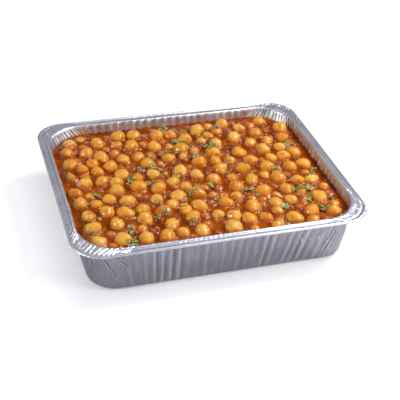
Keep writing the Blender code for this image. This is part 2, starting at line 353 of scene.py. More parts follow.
def slide_at(height):
    """How far each column of the wall stands along the tray from its place at the mouth."""
    mouth, _ = outline(0.0, MOUTH_CORNER_RADIUS)
    flat, outward = outline(wall_reach(height), wall_radii(height))
    forwards = np.stack((-outward[:, 1], outward[:, 0]), axis=1)
    return np.sum((flat - mouth) * forwards, axis=1)


def lean_at(offset, corner):
    """How far a fold that starts here leans away from its corner for each metre it runs down."""
    lean = np.array(CORNER_LEAN)[corner]
    reach = np.array(CORNER_LEAN_REACH)[corner]
    return lean * np.tanh(offset / 0.025) * np.exp(-((offset / reach) ** 2))


def make_gathers():
    """The folds where each corner's foil is gathered: place, width, depth, length and lean."""
    rng = random.Random(GATHER_SEED)
    gathers = []
    for corner in range(4):
        place = -GATHER_SPAN / 2
        while place < GATHER_SPAN / 2:
            width = rng.uniform(0.0030, 0.0056)
            gathers.append(
                {
                    "corner": corner,
                    "place": place,
                    "width": width,
                    "depth": rng.uniform(0.45, 1.1),
                    "length": rng.choice(GATHER_LENGTHS) * rng.uniform(0.8, 1.1),
                    "steep": rng.choice((-1, 1)),
                    "slant": rng.uniform(-0.22, 0.22),
                    "lean": float(lean_at(np.array(place), corner)),
                }
            )
            place += width * rng.uniform(0.85, 1.1)
    return gathers


GATHERS = make_gathers()


def fold_profile(distance, width, steep):
    """A fold's height across it, from 0 to 1: a slow rise on one side and a sharp drop on the other."""
    across = steep * distance
    slow = np.clip(across / (width - FOLD_DROP) + 1, 0, 1) * (across <= 0)
    sharp = np.clip(1 - across / FOLD_DROP, 0, 1) * (across > 0)
    return slow + sharp


def gathered(depth_below_rim, flange_reach=None):
    """The gathers' relief at every column, at a depth on the wall or at a reach on the flange."""
    total = np.zeros(len(ALONG))
    offset = FROM_CORNER + slide_at(RIM_TOP - depth_below_rim)
    for gather in GATHERS:
        here = NEAREST_CORNER == gather["corner"]
        if flange_reach is None:
            line = gather["place"] + gather["lean"] * depth_below_rim
            fade = 1 - smoothstep(0.1 * gather["length"], 1.1 * gather["length"], depth_below_rim)
        else:
            line = gather["place"] + gather["slant"] * flange_reach
            fade = min(1.0, 1.1 / gather["depth"])
        rise = fold_profile(offset - line, gather["width"], gather["steep"])
        total += here * fade * gather["depth"] * (rise - 0.45 * (rise > 0))
    return total


def streaks():
    """Light and dark upright streaks where the foil is stretched inside, strongest at the corners: real
    stretch marks, whose sheen and shade are painted into the colour.
    """
    wander = noise_along(ALONG, 0.009, 14)
    fine = noise_along(ALONG, 0.0022, 15)
    wave = np.sin(2 * math.pi * ALONG / 0.0042 + 3.0 * wander) + 1.2 * fine
    return np.clip(wave, -1, 1) * (1 - 0.8 * smoothstep(0.030, 0.060, np.abs(FROM_CORNER)))


def flute_phase(depth_below_rim):
    """Where each column is in its flute's wave, with the flutes leaning near the corners."""
    slide = slide_at(RIM_TOP - depth_below_rim)
    start = slide
    for _ in range(5):
        start = slide - lean_at(FROM_CORNER + start, NEAREST_CORNER) * depth_below_rim
    place = ALONG + start
    wander = noise_along(place, 0.028, 3)
    return 2 * math.pi * place / FLUTE_PITCH + 1.1 * wander, place


# How much a column belongs to a side, where the flutes are, and not to a corner.
SIDE_SHARE = smoothstep(0.026, 0.046, np.abs(FROM_CORNER))
# How much of the flange's channel is pressed in: it runs out in the gathered corners.
CHANNEL_SHARE = 0.25 + 0.75 * SIDE_SHARE


def flutes(depth_below_rim):
    """The flutes' relief at every column: uneven waves, sharper inwards than outwards."""
    phase, place = flute_phase(depth_below_rim)
    uneven = noise_along(place, 0.013, 8)
    wave = np.cos(phase) + 0.3 * np.cos(2 * phase + 1.1)
    return FLUTE_DEPTH * (0.95 + 0.75 * uneven) * wave * SIDE_SHARE


def wall_relief(height):
    """Everything that moves the wall in or out at a height, in metres, at every column."""
    depth = RIM_TOP - height
    flute_share = smoothstep(0.006, 0.016, height) * (1 - 0.75 * smoothstep(0.0585, 0.0625, height))
    fold_share = smoothstep(0.003, 0.012, height) * (1 - 0.5 * smoothstep(0.060, 0.0635, height))
    up = height * 1.6
    dents = noise_along(ALONG, 0.030, 5, up) * 0.0005 + noise_along(ALONG, 0.011, 6, up) * 0.00016
    dents = dents * smoothstep(0.0, 0.012, height)
    return flutes(depth) * flute_share + FOLD_DEPTH * gathered(depth) * fold_share + dents


def flange_lift(reach):
    """Everything that moves the flange up or down at a reach, in metres, at every column."""
    across = reach / FLANGE_WIDTH
    phase, place = flute_phase(0.0)
    knurl = KNURL_DEPTH * np.array(KNURL_SHARES)[QUARTER] * np.cos(2 * phase) * SIDE_SHARE
    knurl = knurl * (1 - smoothstep(0.45, 0.75, across))
    pleats = PLEAT_HEIGHT * gathered(0.0, reach)
    pleats = pleats * smoothstep(0.02, 0.16, across) * (1 - 0.75 * smoothstep(0.68, 0.82, across))
    crinkle = 0.00012 * noise_along(place, 0.0045, 4, reach * 2) * (1 - 0.75 * SIDE_SHARE)
    wobble = 0.0004 * noise_along(place, 0.075, 9, reach * 2) - 0.0003
    return knurl + pleats + crinkle + wobble


def wall_ring(height, inwards=0.0):
    """A ring of the wall's outer skin at a height, or of a skin that stands inwards of it."""
    reach = wall_reach(height)
    flat, outward = outline(reach, wall_radii(height))
    flat = flat + outward * (wall_relief(height) - inwards)[:, None]
    return np.column_stack((flat, np.full(len(flat), height)))


def flange_ring(reach, height, wall_share=0.0):
    """A ring of the flange. Near the mouth it takes a share of the wall's own relief."""
    flat, outward = outline(reach, flange_corner_radius(reach))
    sideways = wall_share * wall_relief(RIM_TOP - 0.0015)
    sideways = sideways + 0.0003 * noise_along(ALONG, 0.06, 12) * (reach / FLANGE_WIDTH)
    flat = flat + outward * sideways[:, None]
    lift = flange_lift(reach) * (1 - 0.75 * wall_share)
    return np.column_stack((flat, np.asarray(height) + lift))


def flange_top_rings():
    """From the mouth's rounded edge over the ridge and the channel, round the bead to its back."""
    edge = BEAD_RADIUS
    rings = []
    for turn in MOUTH_TURNS:
        angle = math.radians(turn)
        reach = edge * (1 - math.cos(angle))
        height = RIM_TOP - edge * (1 - math.sin(angle))
        rings.append(flange_ring(reach, height, 1 - turn / 90))
    for reach, sink in (
        (0.0029, 0.00005),
        (0.0033, 0.0006),
        (0.0038, CHANNEL_DEPTH),
        (0.0050, CHANNEL_DEPTH * 1.08),
        (0.0063, CHANNEL_DEPTH * 1.08),
        (0.0074, CHANNEL_DEPTH),
    ):
        rings.append(flange_ring(reach, RIM_TOP - sink * CHANNEL_SHARE))
    for turn in BEAD_TURNS:
        angle = math.radians(turn)
        reach = FLANGE_WIDTH - BEAD_RADIUS + BEAD_RADIUS * math.cos(angle)
        height = RIM_TOP - BEAD_RADIUS + BEAD_RADIUS * math.sin(angle)
        rings.append(flange_ring(reach, height))
    return rings


def tray_rings():
    """Every ring of the sheet, from the middle of its floor over the rim to its underside."""
    columns = len(ALONG)
    floor_inside = outline(-WALL_TAPER - 0.030, 0.020)[0]
    rings = [np.column_stack((floor_inside, np.full(columns, FLOOR_INSIDE)))]
    rings += [wall_ring(height, SHEET + 0.0006) for height in HIDDEN_HEIGHTS]
    rings += [wall_ring(height, SHEET) for height in SEEN_HEIGHTS]
    rings += flange_top_rings()
    for reach, sink in ((0.0072, CHANNEL_DEPTH), (0.0050, CHANNEL_DEPTH), (0.0030, 0.0009)):
        rings.append(flange_ring(reach, RIM_TOP - sink * CHANNEL_SHARE - SHEET))
    rings.append(flange_ring(0.0012, RIM_TOP - 0.0016, 0.5))
    rings += [wall_ring(OUTER_TOP - OUTER_STEP * step) for step in range(OUTER_COUNT)]
    rings += [wall_ring(BASE_FILLET * (1 - math.cos(math.radians(turn)))) for turn in FILLET_TURNS]
    # Underneath, the tray stands on a foot round a panel that is raised a little.
    foot = outline(-WALL_TAPER - BASE_FILLET - 0.004, 0.026)[0]
    panel = outline(-WALL_TAPER - BASE_FILLET - 0.006, 0.024)[0]
    rings.append(np.column_stack((foot, np.full(columns, 0.0))))
    rings.append(np.column_stack((panel, np.full(columns, PANEL_HEIGHT))))
    return rings


def skin_faces(count, columns):
    """The faces of a closed skin over rings of points, whose two middle points come last."""
    faces = []
    for level in range(count - 1):
        low, high = level * columns, (level + 1) * columns
        for column in range(columns):
            after = (column + 1) % columns
            faces.append((low + column, high + column, high + after, low + after))
    top_middle, low_middle = count * columns, count * columns + 1
    last = (count - 1) * columns
    for column in range(columns):
        after = (column + 1) % columns
        faces.append((top_middle, column, after))
        faces.append((low_middle, last + after, last + column))
    return faces


def ring_streaks_and_painted_light(level, count, depth):
    """How light or dark a ring of the foil is painted at every column: the inside's stretch streaks, and
    painted highlight and painted shade on the flange, its pleats and the outer flutes.
    """
    if level < INNER_RINGS:
        return streaks() * float(1 - 0.5 * smoothstep(0.004, 0.016, depth))
    if level < INNER_RINGS + len(FLANGE_PAINTED_LIGHT):
        # The corners' pleats: painted highlight and painted shade across each fold, from its relief.
        pleats = np.clip(1.6 * gathered(0.0, 0.005), -0.9, 0.55) * (1 - SIDE_SHARE)
        # The flange's painted highlight and painted shade, by ring and by side.
        painted_light = FLANGE_PAINTED_LIGHT[level - INNER_RINGS]
        painted_band = painted_light * np.array(PAINTED_HIGHLIGHT_SHARES if painted_light > 0 else PAINTED_SHADE_SHARES)[QUARTER]
        return np.clip(pleats * (painted_light < 0.5) + painted_band * (0.3 + 0.7 * SIDE_SHARE), -1, 1)
    if level >= count - OUTER_RINGS:
        # The outer flutes: painted highlight and painted shade that follow each flute's crest and hollow.
        phase, place = flute_phase(depth)
        wave = (0.34 + 0.26 * noise_along(place, 0.013, 8)) * np.cos(phase + 0.7) * SIDE_SHARE
        return np.clip(wave, -1.0, 0.42)
    return np.zeros(len(ALONG))


def make_tray(material):
    """The whole pressed sheet, as one closed skin."""
    rings = tray_rings()
    count, columns = len(rings), len(ALONG)
    points = np.vstack((np.concatenate(rings), (0, 0, FLOOR_INSIDE), (0, 0, PANEL_HEIGHT)))
    tray = mesh_object("pressed_foil_tray", points, skin_faces(count, columns), material)
    inside = np.zeros(len(points))
    inside[: INNER_RINGS * columns] = 1.0
    store_attribute(tray.data, "inside", inside)
    # The rings' stretch streaks and their painted highlight and painted shade, for the foil's colour.
    streak = np.zeros(len(points))
    for level in range(1, count - 2):
        here = slice(level * columns, (level + 1) * columns)
        streak[here] = ring_streaks_and_painted_light(level, count, RIM_TOP - rings[level][0, 2])
    store_attribute(tray.data, "streak", streak)
    face_outwards(tray)
    return finish_piece(tray, "foil_tray")


# The chickpeas' places, by the same rule as the solids', and then fitted to the dressed foil.


def sauce_half():
    """Half the length and half the width of the sauce at its top, and its corners' radius."""
    inset = wall_reach(SAUCE_LEVEL) - FLUTE_DEPTH - FOIL - FOOD_CLEARANCE
    half = Vector(MOUTH_HALF) + Vector((inset, inset))
    return half, wall_corner_radius(inset, SAUCE_LEVEL)


def inside_outline(x, y, margin, rounder=0.0):
    """Whether a point is at least a margin inside the sauce's outline, with rounder corners or not."""
    half, radius = sauce_half()
    radius += rounder
    over = Vector((abs(x) - (half.x - radius), abs(y) - (half.y - radius)))
    if over.x > 0 and over.y > 0:
        return over.length <= radius - margin
    return over.x <= radius - margin and over.y <= radius - margin


def inside_foil(x, y, margin):
    """The same, with the back corners where the foil is pinched in there."""
    return inside_outline(x, y, margin, back_pinch(SAUCE_LEVEL) if y > 0 else 0.0)


def scatter_chickpeas():
    """Every chickpea's place, size and turn. The later ones are smaller and lie deeper."""
    rng = random.Random(CHICKPEA_SEED)
    half, _ = sauce_half()
    peas = []
    for index in range(CHICKPEA_COUNT):
        share = index / (CHICKPEA_COUNT - 1)
        length = CHICKPEA_LARGEST + (CHICKPEA_SMALLEST - CHICKPEA_LARGEST) * share**1.3
        radius = length / 2
        best, best_gap = None, -1.0
        for _ in range(CHICKPEA_TRIES):
            x, y = rng.uniform(-half.x, half.x), rng.uniform(-half.y, half.y)
            if not inside_outline(x, y, CHICKPEA_EDGE_SHARE * radius):
                continue
            gaps = [math.hypot(x - pea["x"], y - pea["y"]) - pea["spread"] for pea in peas]
            gap = min(gaps, default=0.0)
            if best is None or gap > best_gap:
                best, best_gap = (x, y), gap
        width = rng.uniform(0.86, 0.96)
        tall = rng.uniform(0.80, 0.92)
        deeper = max(0.0, share - SUNK_FROM_SHARE) / (1 - SUNK_FROM_SHARE)
        sunk = rng.uniform(-0.22, 0.12) + SUNK_DEEPEST * deeper
        top = min(SAUCE_LEVEL + radius * (tall - sunk), FOOD_TOP)
        cut = max(0.0, sunk) / tall
        peas.append(
            {
                "x": best[0],
                "y": best[1],
                "z": top - radius * tall,
                "radius": radius,
                "spread": radius * math.sqrt(1 - cut**2),
                "size": Vector((radius, radius * width, radius * tall)),
                "turn": rng.uniform(0, 2 * math.pi),
            }
        )
    settle(peas)
    return peas


def settle(peas):
    """Moves chickpeas that crowd each other apart, and back from the edge, a little at a time."""
    for _ in range(SETTLE_ROUNDS):
        for index, pea in enumerate(peas):
            for other in peas[:index]:
                across = Vector((pea["x"] - other["x"], pea["y"] - other["y"]))
                short = SETTLE_CLOSENESS * (pea["spread"] + other["spread"]) - across.length
                if short > 0:
                    push = across.normalized() * short / 2
                    pea["x"], pea["y"] = pea["x"] + push.x, pea["y"] + push.y
                    other["x"], other["y"] = other["x"] - push.x, other["y"] - push.y
        for pea in peas:
            while not inside_outline(pea["x"], pea["y"], CHICKPEA_EDGE_SHARE * pea["radius"]):
                pea["x"] *= 0.99
                pea["y"] *= 0.99


def keep_inside(peas):
    """Lifts the chickpeas to where they show well, and draws them in from the pinched corners."""
    for pea in peas:
        pea["z"] += PEA_LIFT
        while not inside_foil(pea["x"], pea["y"], 1.05 * pea["radius"]):
            pea["x"] *= 0.99
            pea["y"] *= 0.99
    return peas


PEAS = keep_inside(scatter_chickpeas())


def scatter_sunk_chickpeas():
    """Chickpeas that lie between the others with only their tops out of the sauce."""
    rng = random.Random(SUNK_SEED)
    half, _ = sauce_half()
    sunk = []
    for _ in range(SUNK_TRIES):
        x, y = rng.uniform(-half.x, half.x), rng.uniform(-half.y, half.y)
        radius = rng.uniform(0.0068, 0.0092)
        out = rng.uniform(0.0006, 0.0034)
        tall = rng.uniform(0.82, 0.92) * radius
        showing = radius * math.sqrt(1 - (1 - out / tall) ** 2)
        apart = all(
            math.hypot(x - pea["x"], y - pea["y"]) > 0.80 * (pea["spread"] + showing)
            for pea in PEAS + sunk
        )
        if apart and len(sunk) < SUNK_COUNT and inside_foil(x, y, 0.9 * radius):
            sunk.append(
                {
                    "x": x,
                    "y": y,
                    "z": SAUCE_LEVEL + out - tall,
                    "radius": radius,
                    "spread": showing,
                    "size": Vector((radius, radius * rng.uniform(0.86, 0.96), tall)),
                    "turn": rng.uniform(0, 2 * math.pi),
                }
            )
    return sunk


ALL_PEAS = PEAS + scatter_sunk_chickpeas()


def across_pea(pea, flat):
    """Each point's place in a chickpea's own level frame, as a share of its half sizes."""
    cosine, sine = math.cos(pea["turn"]), math.sin(pea["turn"])
    dx, dy = flat[:, 0] - pea["x"], flat[:, 1] - pea["y"]
    u = (dx * cosine + dy * sine) / pea["size"].x
    v = (dy * cosine - dx * sine) / pea["size"].y
    return u, v


def waterline(pea):
    """A chickpea's outline where the sauce meets it, as a share of its widest outline."""
    rise = (SAUCE_LEVEL + 0.0004 - pea["z"]) / pea["size"].z
    return math.sqrt(max(0.05, 1 - min(1.0, abs(rise)) ** 2))


def scatter_lumps():
    """Lumps just under the sauce: the place, half length, height and turn of each."""
    rng = random.Random(LUMP_SEED)
    half, _ = sauce_half()
    lumps = []
    while len(lumps) < LUMP_COUNT:
        x, y = rng.uniform(-half.x, half.x), rng.uniform(-half.y, half.y)
        if inside_foil(x, y, 0.004):
            size = rng.uniform(0.0011, 0.0032)
            lumps.append((x, y, size, size * rng.uniform(0.25, 0.5), rng.uniform(0, math.pi)))
    return lumps


LUMPS = scatter_lumps()


def sauce_surface(flat):
    """The sauce's height, how much of a bump there is and how much it clings, at each point."""
    rows = np.column_stack((flat, np.zeros(len(flat))))
    height = np.full(len(flat), SAUCE_LEVEL)
    height += LUMP_HEIGHT * noise_at(rows, 0.013, 1) + 0.6 * LUMP_HEIGHT * noise_at(rows, 0.0048, 2)
    height += 0.3 * LUMP_HEIGHT * noise_at(rows, 0.0022, 3)
    clear = np.ones(len(flat))
    for pea in ALL_PEAS:
        u, v = across_pea(pea, flat)
        beyond = np.clip((np.hypot(u, v) - waterline(pea)) * pea["radius"], 0, None)
        clear *= 1 - np.exp(-beyond / CLING_REACH)
    cling = 1 - clear
    height += CLING_RISE * cling
    bump = np.zeros(len(flat))
    for x, y, size, tall, turn in LUMPS:
        dx, dy = flat[:, 0] - x, flat[:, 1] - y
        near = np.flatnonzero((np.abs(dx) < size * 1.6) & (np.abs(dy) < size * 1.6))
        along = dx[near] * math.cos(turn) + dy[near] * math.sin(turn)
        side = dy[near] * math.cos(turn) - dx[near] * math.sin(turn)
        share = np.clip(1 - (along / size) ** 2 - (side / (0.62 * size)) ** 2, 0, 1)
        dome = np.sqrt(share)
        height[near] += tall * dome * 0.8
        bump[near] = np.maximum(bump[near], dome)
    return height, bump, cling


def sauce_points():
    """Where the sauce's top has its points: an even grid, with finer rings round each chickpea."""
    half, _ = sauce_half()
    rng = random.Random(GRAIN_SEED)
    points = []
    row = 0
    y = -half.y
    while y < half.y:
        x = -half.x + (row % 2) * SAUCE_GRAIN / 2
        while x < half.x:
            if inside_foil(x, y, 0.0042):
                points.append((x + rng.uniform(-1, 1) * 1e-4, y + rng.uniform(-1, 1) * 1e-4))
            x += SAUCE_GRAIN
        y += SAUCE_GRAIN * 0.866
        row += 1
    flat = np.array(points)
    keep = np.ones(len(flat), bool)
    few = np.arange(len(flat)) % 7 == 0
    for pea in ALL_PEAS:
        u, v = across_pea(pea, flat)
        beyond = (np.hypot(u, v) - waterline(pea)) * pea["radius"]
        keep &= (beyond > 0.0021) | (beyond < -0.0012) & few
    rings = []
    for pea in ALL_PEAS:
        for out in (-0.0006, 0.0001, 0.0005, 0.0010, 0.0016):
            share = waterline(pea) + out / pea["radius"]
            steps = max(14, round(2 * math.pi * share * pea["radius"] / 0.0010))
            for step in range(steps):
                angle = 2 * math.pi * (step + 0.5 * (out > 0.0003)) / steps
                u, v = share * pea["size"].x * math.cos(angle), share * pea["size"].y * math.sin(angle)
                cosine, sine = math.cos(pea["turn"]), math.sin(pea["turn"])
                x, y = pea["x"] + u * cosine - v * sine, pea["y"] + u * sine + v * cosine
                if inside_foil(x, y, 0.0042):
                    rings.append((x, y))
    return np.vstack((flat[keep], np.array(rings)))


def make_sauce(material):
    """The body of sauce: a lumpy top that climbs the foil and each chickpea, over plain sides."""
    step = 2
    columns = len(ALONG[::step])
    edge_rings = []
    for inwards, rise in ((0.00012, 1.0), (0.0004, 0.62), (0.0009, 0.32), (0.0016, 0.12), (0.0026, 0.0)):
        height = SAUCE_LEVEL + rise * SAUCE_EDGE_RISE
        ring = wall_ring(height, SHEET + inwards)[::step]
        uneven = noise_at(ring * (1, 1, 0), 0.022, 21) * 0.0005 * rise
        if rise < 1:
            ground, _, _ = sauce_surface(ring[:, :2])
            ring[:, 2] = rise * ring[:, 2] + (1 - rise) * ground
        ring[:, 2] += uneven
        edge_rings.append(ring)
    inner = edge_rings[-1]
    flat = sauce_points()
    heights, bumps, clings = sauce_surface(flat)
    ring_edges = [(i, (i + 1) % columns) for i in range(columns)]
    plan = [Vector(point) for point in np.vstack((inner[:, :2], flat))]
    result = geometry.delaunay_2d_cdt(plan, ring_edges, [], 1, 1e-6)
    top_flat, _, top_faces, origin = result[0], result[1], result[2], result[3]
    top = np.zeros((len(top_flat), 3))
    bump, cling = np.zeros(len(top_flat)), np.zeros(len(top_flat))
    for index, (point, sources) in enumerate(zip(top_flat, origin)):
        source = sources[0] if sources else -1
        top[index, :2] = point
        if source < columns:
            top[index, 2] = inner[source, 2]
        else:
            top[index, 2] = heights[source - columns]
            bump[index] = bumps[source - columns]
            cling[index] = clings[source - columns]
    lookup = {sources[0]: index for index, sources in enumerate(origin) if sources}
    points = [top]
    faces = [tuple(face) for face in top_faces]
    above = [lookup[column] for column in range(columns)]
    total = len(top)
    lower = [wall_ring(0.046, SHEET + 0.0016)[::step], wall_ring(0.012, SHEET + 0.0030)[::step]]
    floor = outline(-WALL_TAPER - BASE_FILLET - 0.004, 0.026)[0][::step]
    lower.append(np.column_stack((floor, np.full(columns, 0.0030))))
    for ring in edge_rings[-2::-1] + lower:
        points.append(ring)
        here = list(range(total, total + columns))
        for column in range(columns):
            after = (column + 1) % columns
            faces.append((above[column], here[column], here[after], above[after]))
        above = here
        total += columns
    points.append(np.array(((0, 0, 0.0030),)))
    for column in range(columns):
        faces.append((above[column], total, above[(column + 1) % columns]))
    points = np.vstack(points)
    sauce = mesh_object("tomato_sauce", points, faces, material)
    sides = np.zeros(len(points) - len(top))
    store_attribute(sauce.data, "bump", np.concatenate((bump, sides)))
    store_attribute(sauce.data, "cling", np.concatenate((cling, sides)))
    face_outwards(sauce)
    return finish_piece(sauce, "chickpea_curry")


# Geometry Nodes: one tree puts copies of small things on points and gives them their own relief.


def link(tree, source, target):
    tree.links.new(source, target)


def feed(tree, socket, value):
    """Give a socket a value, or link another node's output to it."""
    if isinstance(value, bpy.types.NodeSocket):
        link(tree, value, socket)
    elif isinstance(value, tuple) and socket.type == "RGBA":
        socket.default_value = (*value, 1.0)
    else:
        socket.default_value = value


def add_node(tree, kind, values=None, **settings):
    """A new node with its settings made and its inputs given values or linked. It returns the node."""
    node = tree.nodes.new(kind)
    for name, setting in settings.items():
        setattr(node, name, setting)
    for name, value in (values or {}).items():
        feed(tree, node.inputs[name], value)
    return node


def noise_node(tree, vector, scale, detail=2.0, roughness=0.5):
    values = {"Vector": vector, "Scale": scale, "Detail": detail, "Roughness": roughness}
    return add_node(tree, "ShaderNodeTexNoise", values).outputs[0]


def math_node(tree, operation, first, second, clamp=True):
    values = {0: first, 1: second}
    return add_node(tree, "ShaderNodeMath", values, operation=operation, use_clamp=clamp).outputs[0]


def vector_math(tree, operation, first, second=None):
    values = {0: first}
    if second is not None:
        values["Scale" if operation == "SCALE" else 1] = second
    node = add_node(tree, "ShaderNodeVectorMath", values, operation=operation)
    return node.outputs["Value" if operation in ("DOT_PRODUCT", "LENGTH") else "Vector"]


def named_field(tree, name, kind):
    values = {"Name": name}
    node = add_node(tree, "GeometryNodeInputNamedAttribute", values, data_type=kind)
    return node.outputs["Attribute"]


def scatter_tree():
    """Instances of a few variants on points, turned and sized by the points' own attributes."""
    tree = bpy.data.node_groups.new("Scatter on points", "GeometryNodeTree")
    sockets = {"Points": "Geometry"}
    sockets.update({f"Variant {number}": "Object" for number in (1, 2, 3, 4)})
    sockets.update({"Relief": "Float", "Relief size": "Float", "Finish": "Material"})
    for name, kind in sockets.items():
        tree.interface.new_socket(name, in_out="INPUT", socket_type="NodeSocket" + kind)
    tree.interface.new_socket("Pieces", in_out="OUTPUT", socket_type="NodeSocketGeometry")
    given = tree.nodes.new("NodeGroupInput").outputs
    joined = tree.nodes.new("GeometryNodeJoinGeometry")
    for number in (1, 2, 3, 4):
        values = {"Object": given[f"Variant {number}"], "As Instance": True}
        info = add_node(tree, "GeometryNodeObjectInfo", values)
        link(tree, info.outputs["Geometry"], joined.inputs["Geometry"])
    turn = named_field(tree, "turn", "FLOAT_VECTOR")
    turned = add_node(tree, "FunctionNodeEulerToRotation", {"Euler": turn})
    values = {
        "Points": given["Points"],
        "Instance": joined.outputs["Geometry"],
        "Pick Instance": True,
        "Instance Index": named_field(tree, "variant", "INT"),
        "Rotation": turned.outputs["Rotation"],
        "Scale": named_field(tree, "size", "FLOAT_VECTOR"),
    }
    placed = add_node(tree, "GeometryNodeInstanceOnPoints", values)
    real = add_node(tree, "GeometryNodeRealizeInstances", {"Geometry": placed.outputs["Instances"]})
    # The relief: every point moves along its normal by noise in the finished piece's own place.
    place = tree.nodes.new("GeometryNodeInputPosition").outputs["Position"]
    scale = math_node(tree, "DIVIDE", 1.0, given["Relief size"], False)
    grain = noise_node(tree, place, scale)
    centred = math_node(tree, "SUBTRACT", grain, 0.5, False)
    amount = math_node(tree, "MULTIPLY", centred, given["Relief"], False)
    facing = tree.nodes.new("GeometryNodeInputNormal").outputs["Normal"]
    offset = vector_math(tree, "SCALE", facing, amount)
    values = {"Geometry": real.outputs["Geometry"], "Offset": offset}
    moved = add_node(tree, "GeometryNodeSetPosition", values)
    smooth = add_node(tree, "GeometryNodeSetShadeSmooth", {"Geometry": moved.outputs["Geometry"]})
    values = {"Geometry": smooth.outputs["Geometry"], "Material": given["Finish"]}
    finish = add_node(tree, "GeometryNodeSetMaterial", values)
    result = tree.nodes.new("NodeGroupOutput")
    link(tree, finish.outputs["Geometry"], result.inputs["Pieces"])
    return tree


SCATTER = scatter_tree()


def scatter(name, rows, variants, relief, relief_size, material, extra=()):
    """Puts a copy of a variant at each row and returns them all as one plain mesh.

    A row is a dict with place, turn, size, variant and any extra values for the material.
    """
    holder = mesh_object(name, [row["place"] for row in rows], [], None, False)
    store_attribute(holder.data, "turn", [row["turn"] for row in rows], "FLOAT_VECTOR")
    store_attribute(holder.data, "size", [row["size"] for row in rows], "FLOAT_VECTOR")
    store_attribute(holder.data, "variant", [row["variant"] for row in rows], "INT")
    for field in extra:
        store_attribute(holder.data, field, [row[field] for row in rows])
    modifier = holder.modifiers.new("Scatter", "NODES")
    modifier.node_group = SCATTER
    values = {"Relief": relief, "Relief size": relief_size, "Finish": material}
    for number in (1, 2, 3, 4):
        values[f"Variant {number}"] = variants[(number - 1) % len(variants)]
    for item in SCATTER.interface.items_tree:
        if item.name in values:
            modifier[item.identifier] = values[item.name]
    graph = bpy.context.evaluated_depsgraph_get()
    mesh = bpy.data.meshes.new_from_object(holder.evaluated_get(graph))
    mesh.name = name
    holder.modifiers.clear()
    holder.data = mesh
    for variant in variants:
        bpy.data.objects.remove(variant, do_unlink=True)
    return finish_piece(holder)


# The small things themselves.


def chickpea_variant(index):
    """One chickpea of unit radius: a blunt beak, a cleft that runs back from it and two lobes."""
    rng = random.Random(100 + index)
    builder = bmesh.new()
    bmesh.ops.create_icosphere(builder, subdivisions=3, radius=1.0)
    beak = Vector((1.0, 0.3 * rng.uniform(-1, 1), rng.uniform(-0.1, 0.5))).normalized()
    side = beak.cross(Vector((0.0, 0.0, 1.0))).normalized()
    shift = Vector((rng.uniform(0, 9), rng.uniform(0, 9), rng.uniform(0, 9)))
    for vertex in builder.verts:
        ray = vertex.co.normalized()
        toward = ray.dot(beak)
        reach = 1 + 0.17 * max(0.0, toward) ** 9 - 0.05 * max(0.0, toward) ** 2
        cleft = math.exp(-((ray.dot(side) / 0.22) ** 2)) * float(smoothstep(-0.6, 0.3, toward))
        cleft *= 1 - float(smoothstep(0.75, 0.98, toward))
        reach -= (0.05 + 0.02 * (index % 3)) * cleft
        reach += 0.15 * noise.noise(ray * 1.1 + shift) + 0.05 * noise.noise(ray * 2.3 + shift)
        vertex.co = ray * reach
    return built_object(builder, f"chickpea_shape_{index}")


def make_chickpeas(material):
    """All the chickpeas, each tipped a little. The deeper ones have more sauce on them."""
    rng = random.Random(PEA_TIP_SEED)
    rows = []
    for index, pea in enumerate(ALL_PEAS):
        share = index / (len(PEAS) - 1)
        tip = rng.uniform(-0.55, 0.55), rng.uniform(-0.5, 0.5)
        rows.append(
            {
                "place": (pea["x"], pea["y"], pea["z"]),
                "turn": (tip[0], tip[1], pea["turn"]),
                "size": tuple(pea["size"]),
                "variant": rng.randrange(4),
                "coat": float(np.clip(rng.gauss(0.28, 0.26) + 0.7 * max(0.0, share - 0.6), 0, 1)),
                "tint": rng.random(),
            }
        )
    variants = [chickpea_variant(index) for index in range(4)]
    extra = ("coat", "tint")
    return scatter("chickpeas", rows, variants, 0.0010, 0.0060, material, extra)


def food_surface(x, y):
    """Height and upward direction of the food at a point, over the sauce and the chickpeas."""
    flat = np.array(((x, y),))
    height, _, _ = sauce_surface(flat)
    best, upward = float(height[0]), Vector((0, 0, 1))
    for pea in ALL_PEAS:
        u, v = across_pea(pea, flat)
        inside = 1 - u[0] ** 2 - v[0] ** 2
        if inside <= 0:
            continue
        top = pea["z"] + pea["size"].z * math.sqrt(inside)
        if top > best:
            best = top
            slope = Vector(
                (u[0] / pea["size"].x, v[0] / pea["size"].y, math.sqrt(inside) / pea["size"].z)
            )
            slope.rotate(Euler((0, 0, pea["turn"])))
            upward = slope.normalized()
    return best, upward


def leaf_variant(index):
    """A coriander leaf, one unit long: three toothed lobes, folded along the rib and wavy."""
    rng = random.Random(200 + index)
    points = []
    steps = 26
    for step in range(steps):
        angle = 2 * math.pi * step / steps
        lobes = 0.72 + 0.18 * math.cos(3 * angle) + 0.12 * math.cos(11 * angle + index)
        notch = 1 - 0.45 * math.exp(-(((angle - math.pi) / 0.5) ** 2))
        reach = 0.5 * lobes * notch * rng.uniform(0.9, 1.08)
        points.append(Vector((reach * math.cos(angle), 0.9 * reach * math.sin(angle), 0.0)))
    inner = [point * 0.5 for point in points]
    fold = rng.uniform(0.25, 0.6)
    phase = rng.uniform(0, 6)

    def lifted(point, side):
        lift = fold * abs(point.y) + 0.07 * math.sin(9 * point.x + phase) * math.cos(8 * point.y)
        return Vector((point.x, point.y, lift + side * 0.018))

    builder = bmesh.new()
    layers = []
    for side in (-1, 1):
        middle = builder.verts.new(lifted(Vector((0, 0, 0)), side))
        ring = [builder.verts.new(lifted(point, side)) for point in inner]
        edge = [builder.verts.new(lifted(point, side)) for point in points]
        for step in range(steps):
            after = (step + 1) % steps
            triangle = (middle, ring[step], ring[after])
            first = (ring[step], edge[step], edge[after])
            second = (ring[step], edge[after], ring[after])
            for face in (triangle, first, second):
                builder.faces.new(face if side > 0 else face[::-1])
        layers.append(edge)
    for step in range(steps):
        after = (step + 1) % steps
        builder.faces.new((layers[0][step], layers[0][after], layers[1][after], layers[1][step]))
    return built_object(builder, f"leaf_shape_{index}")


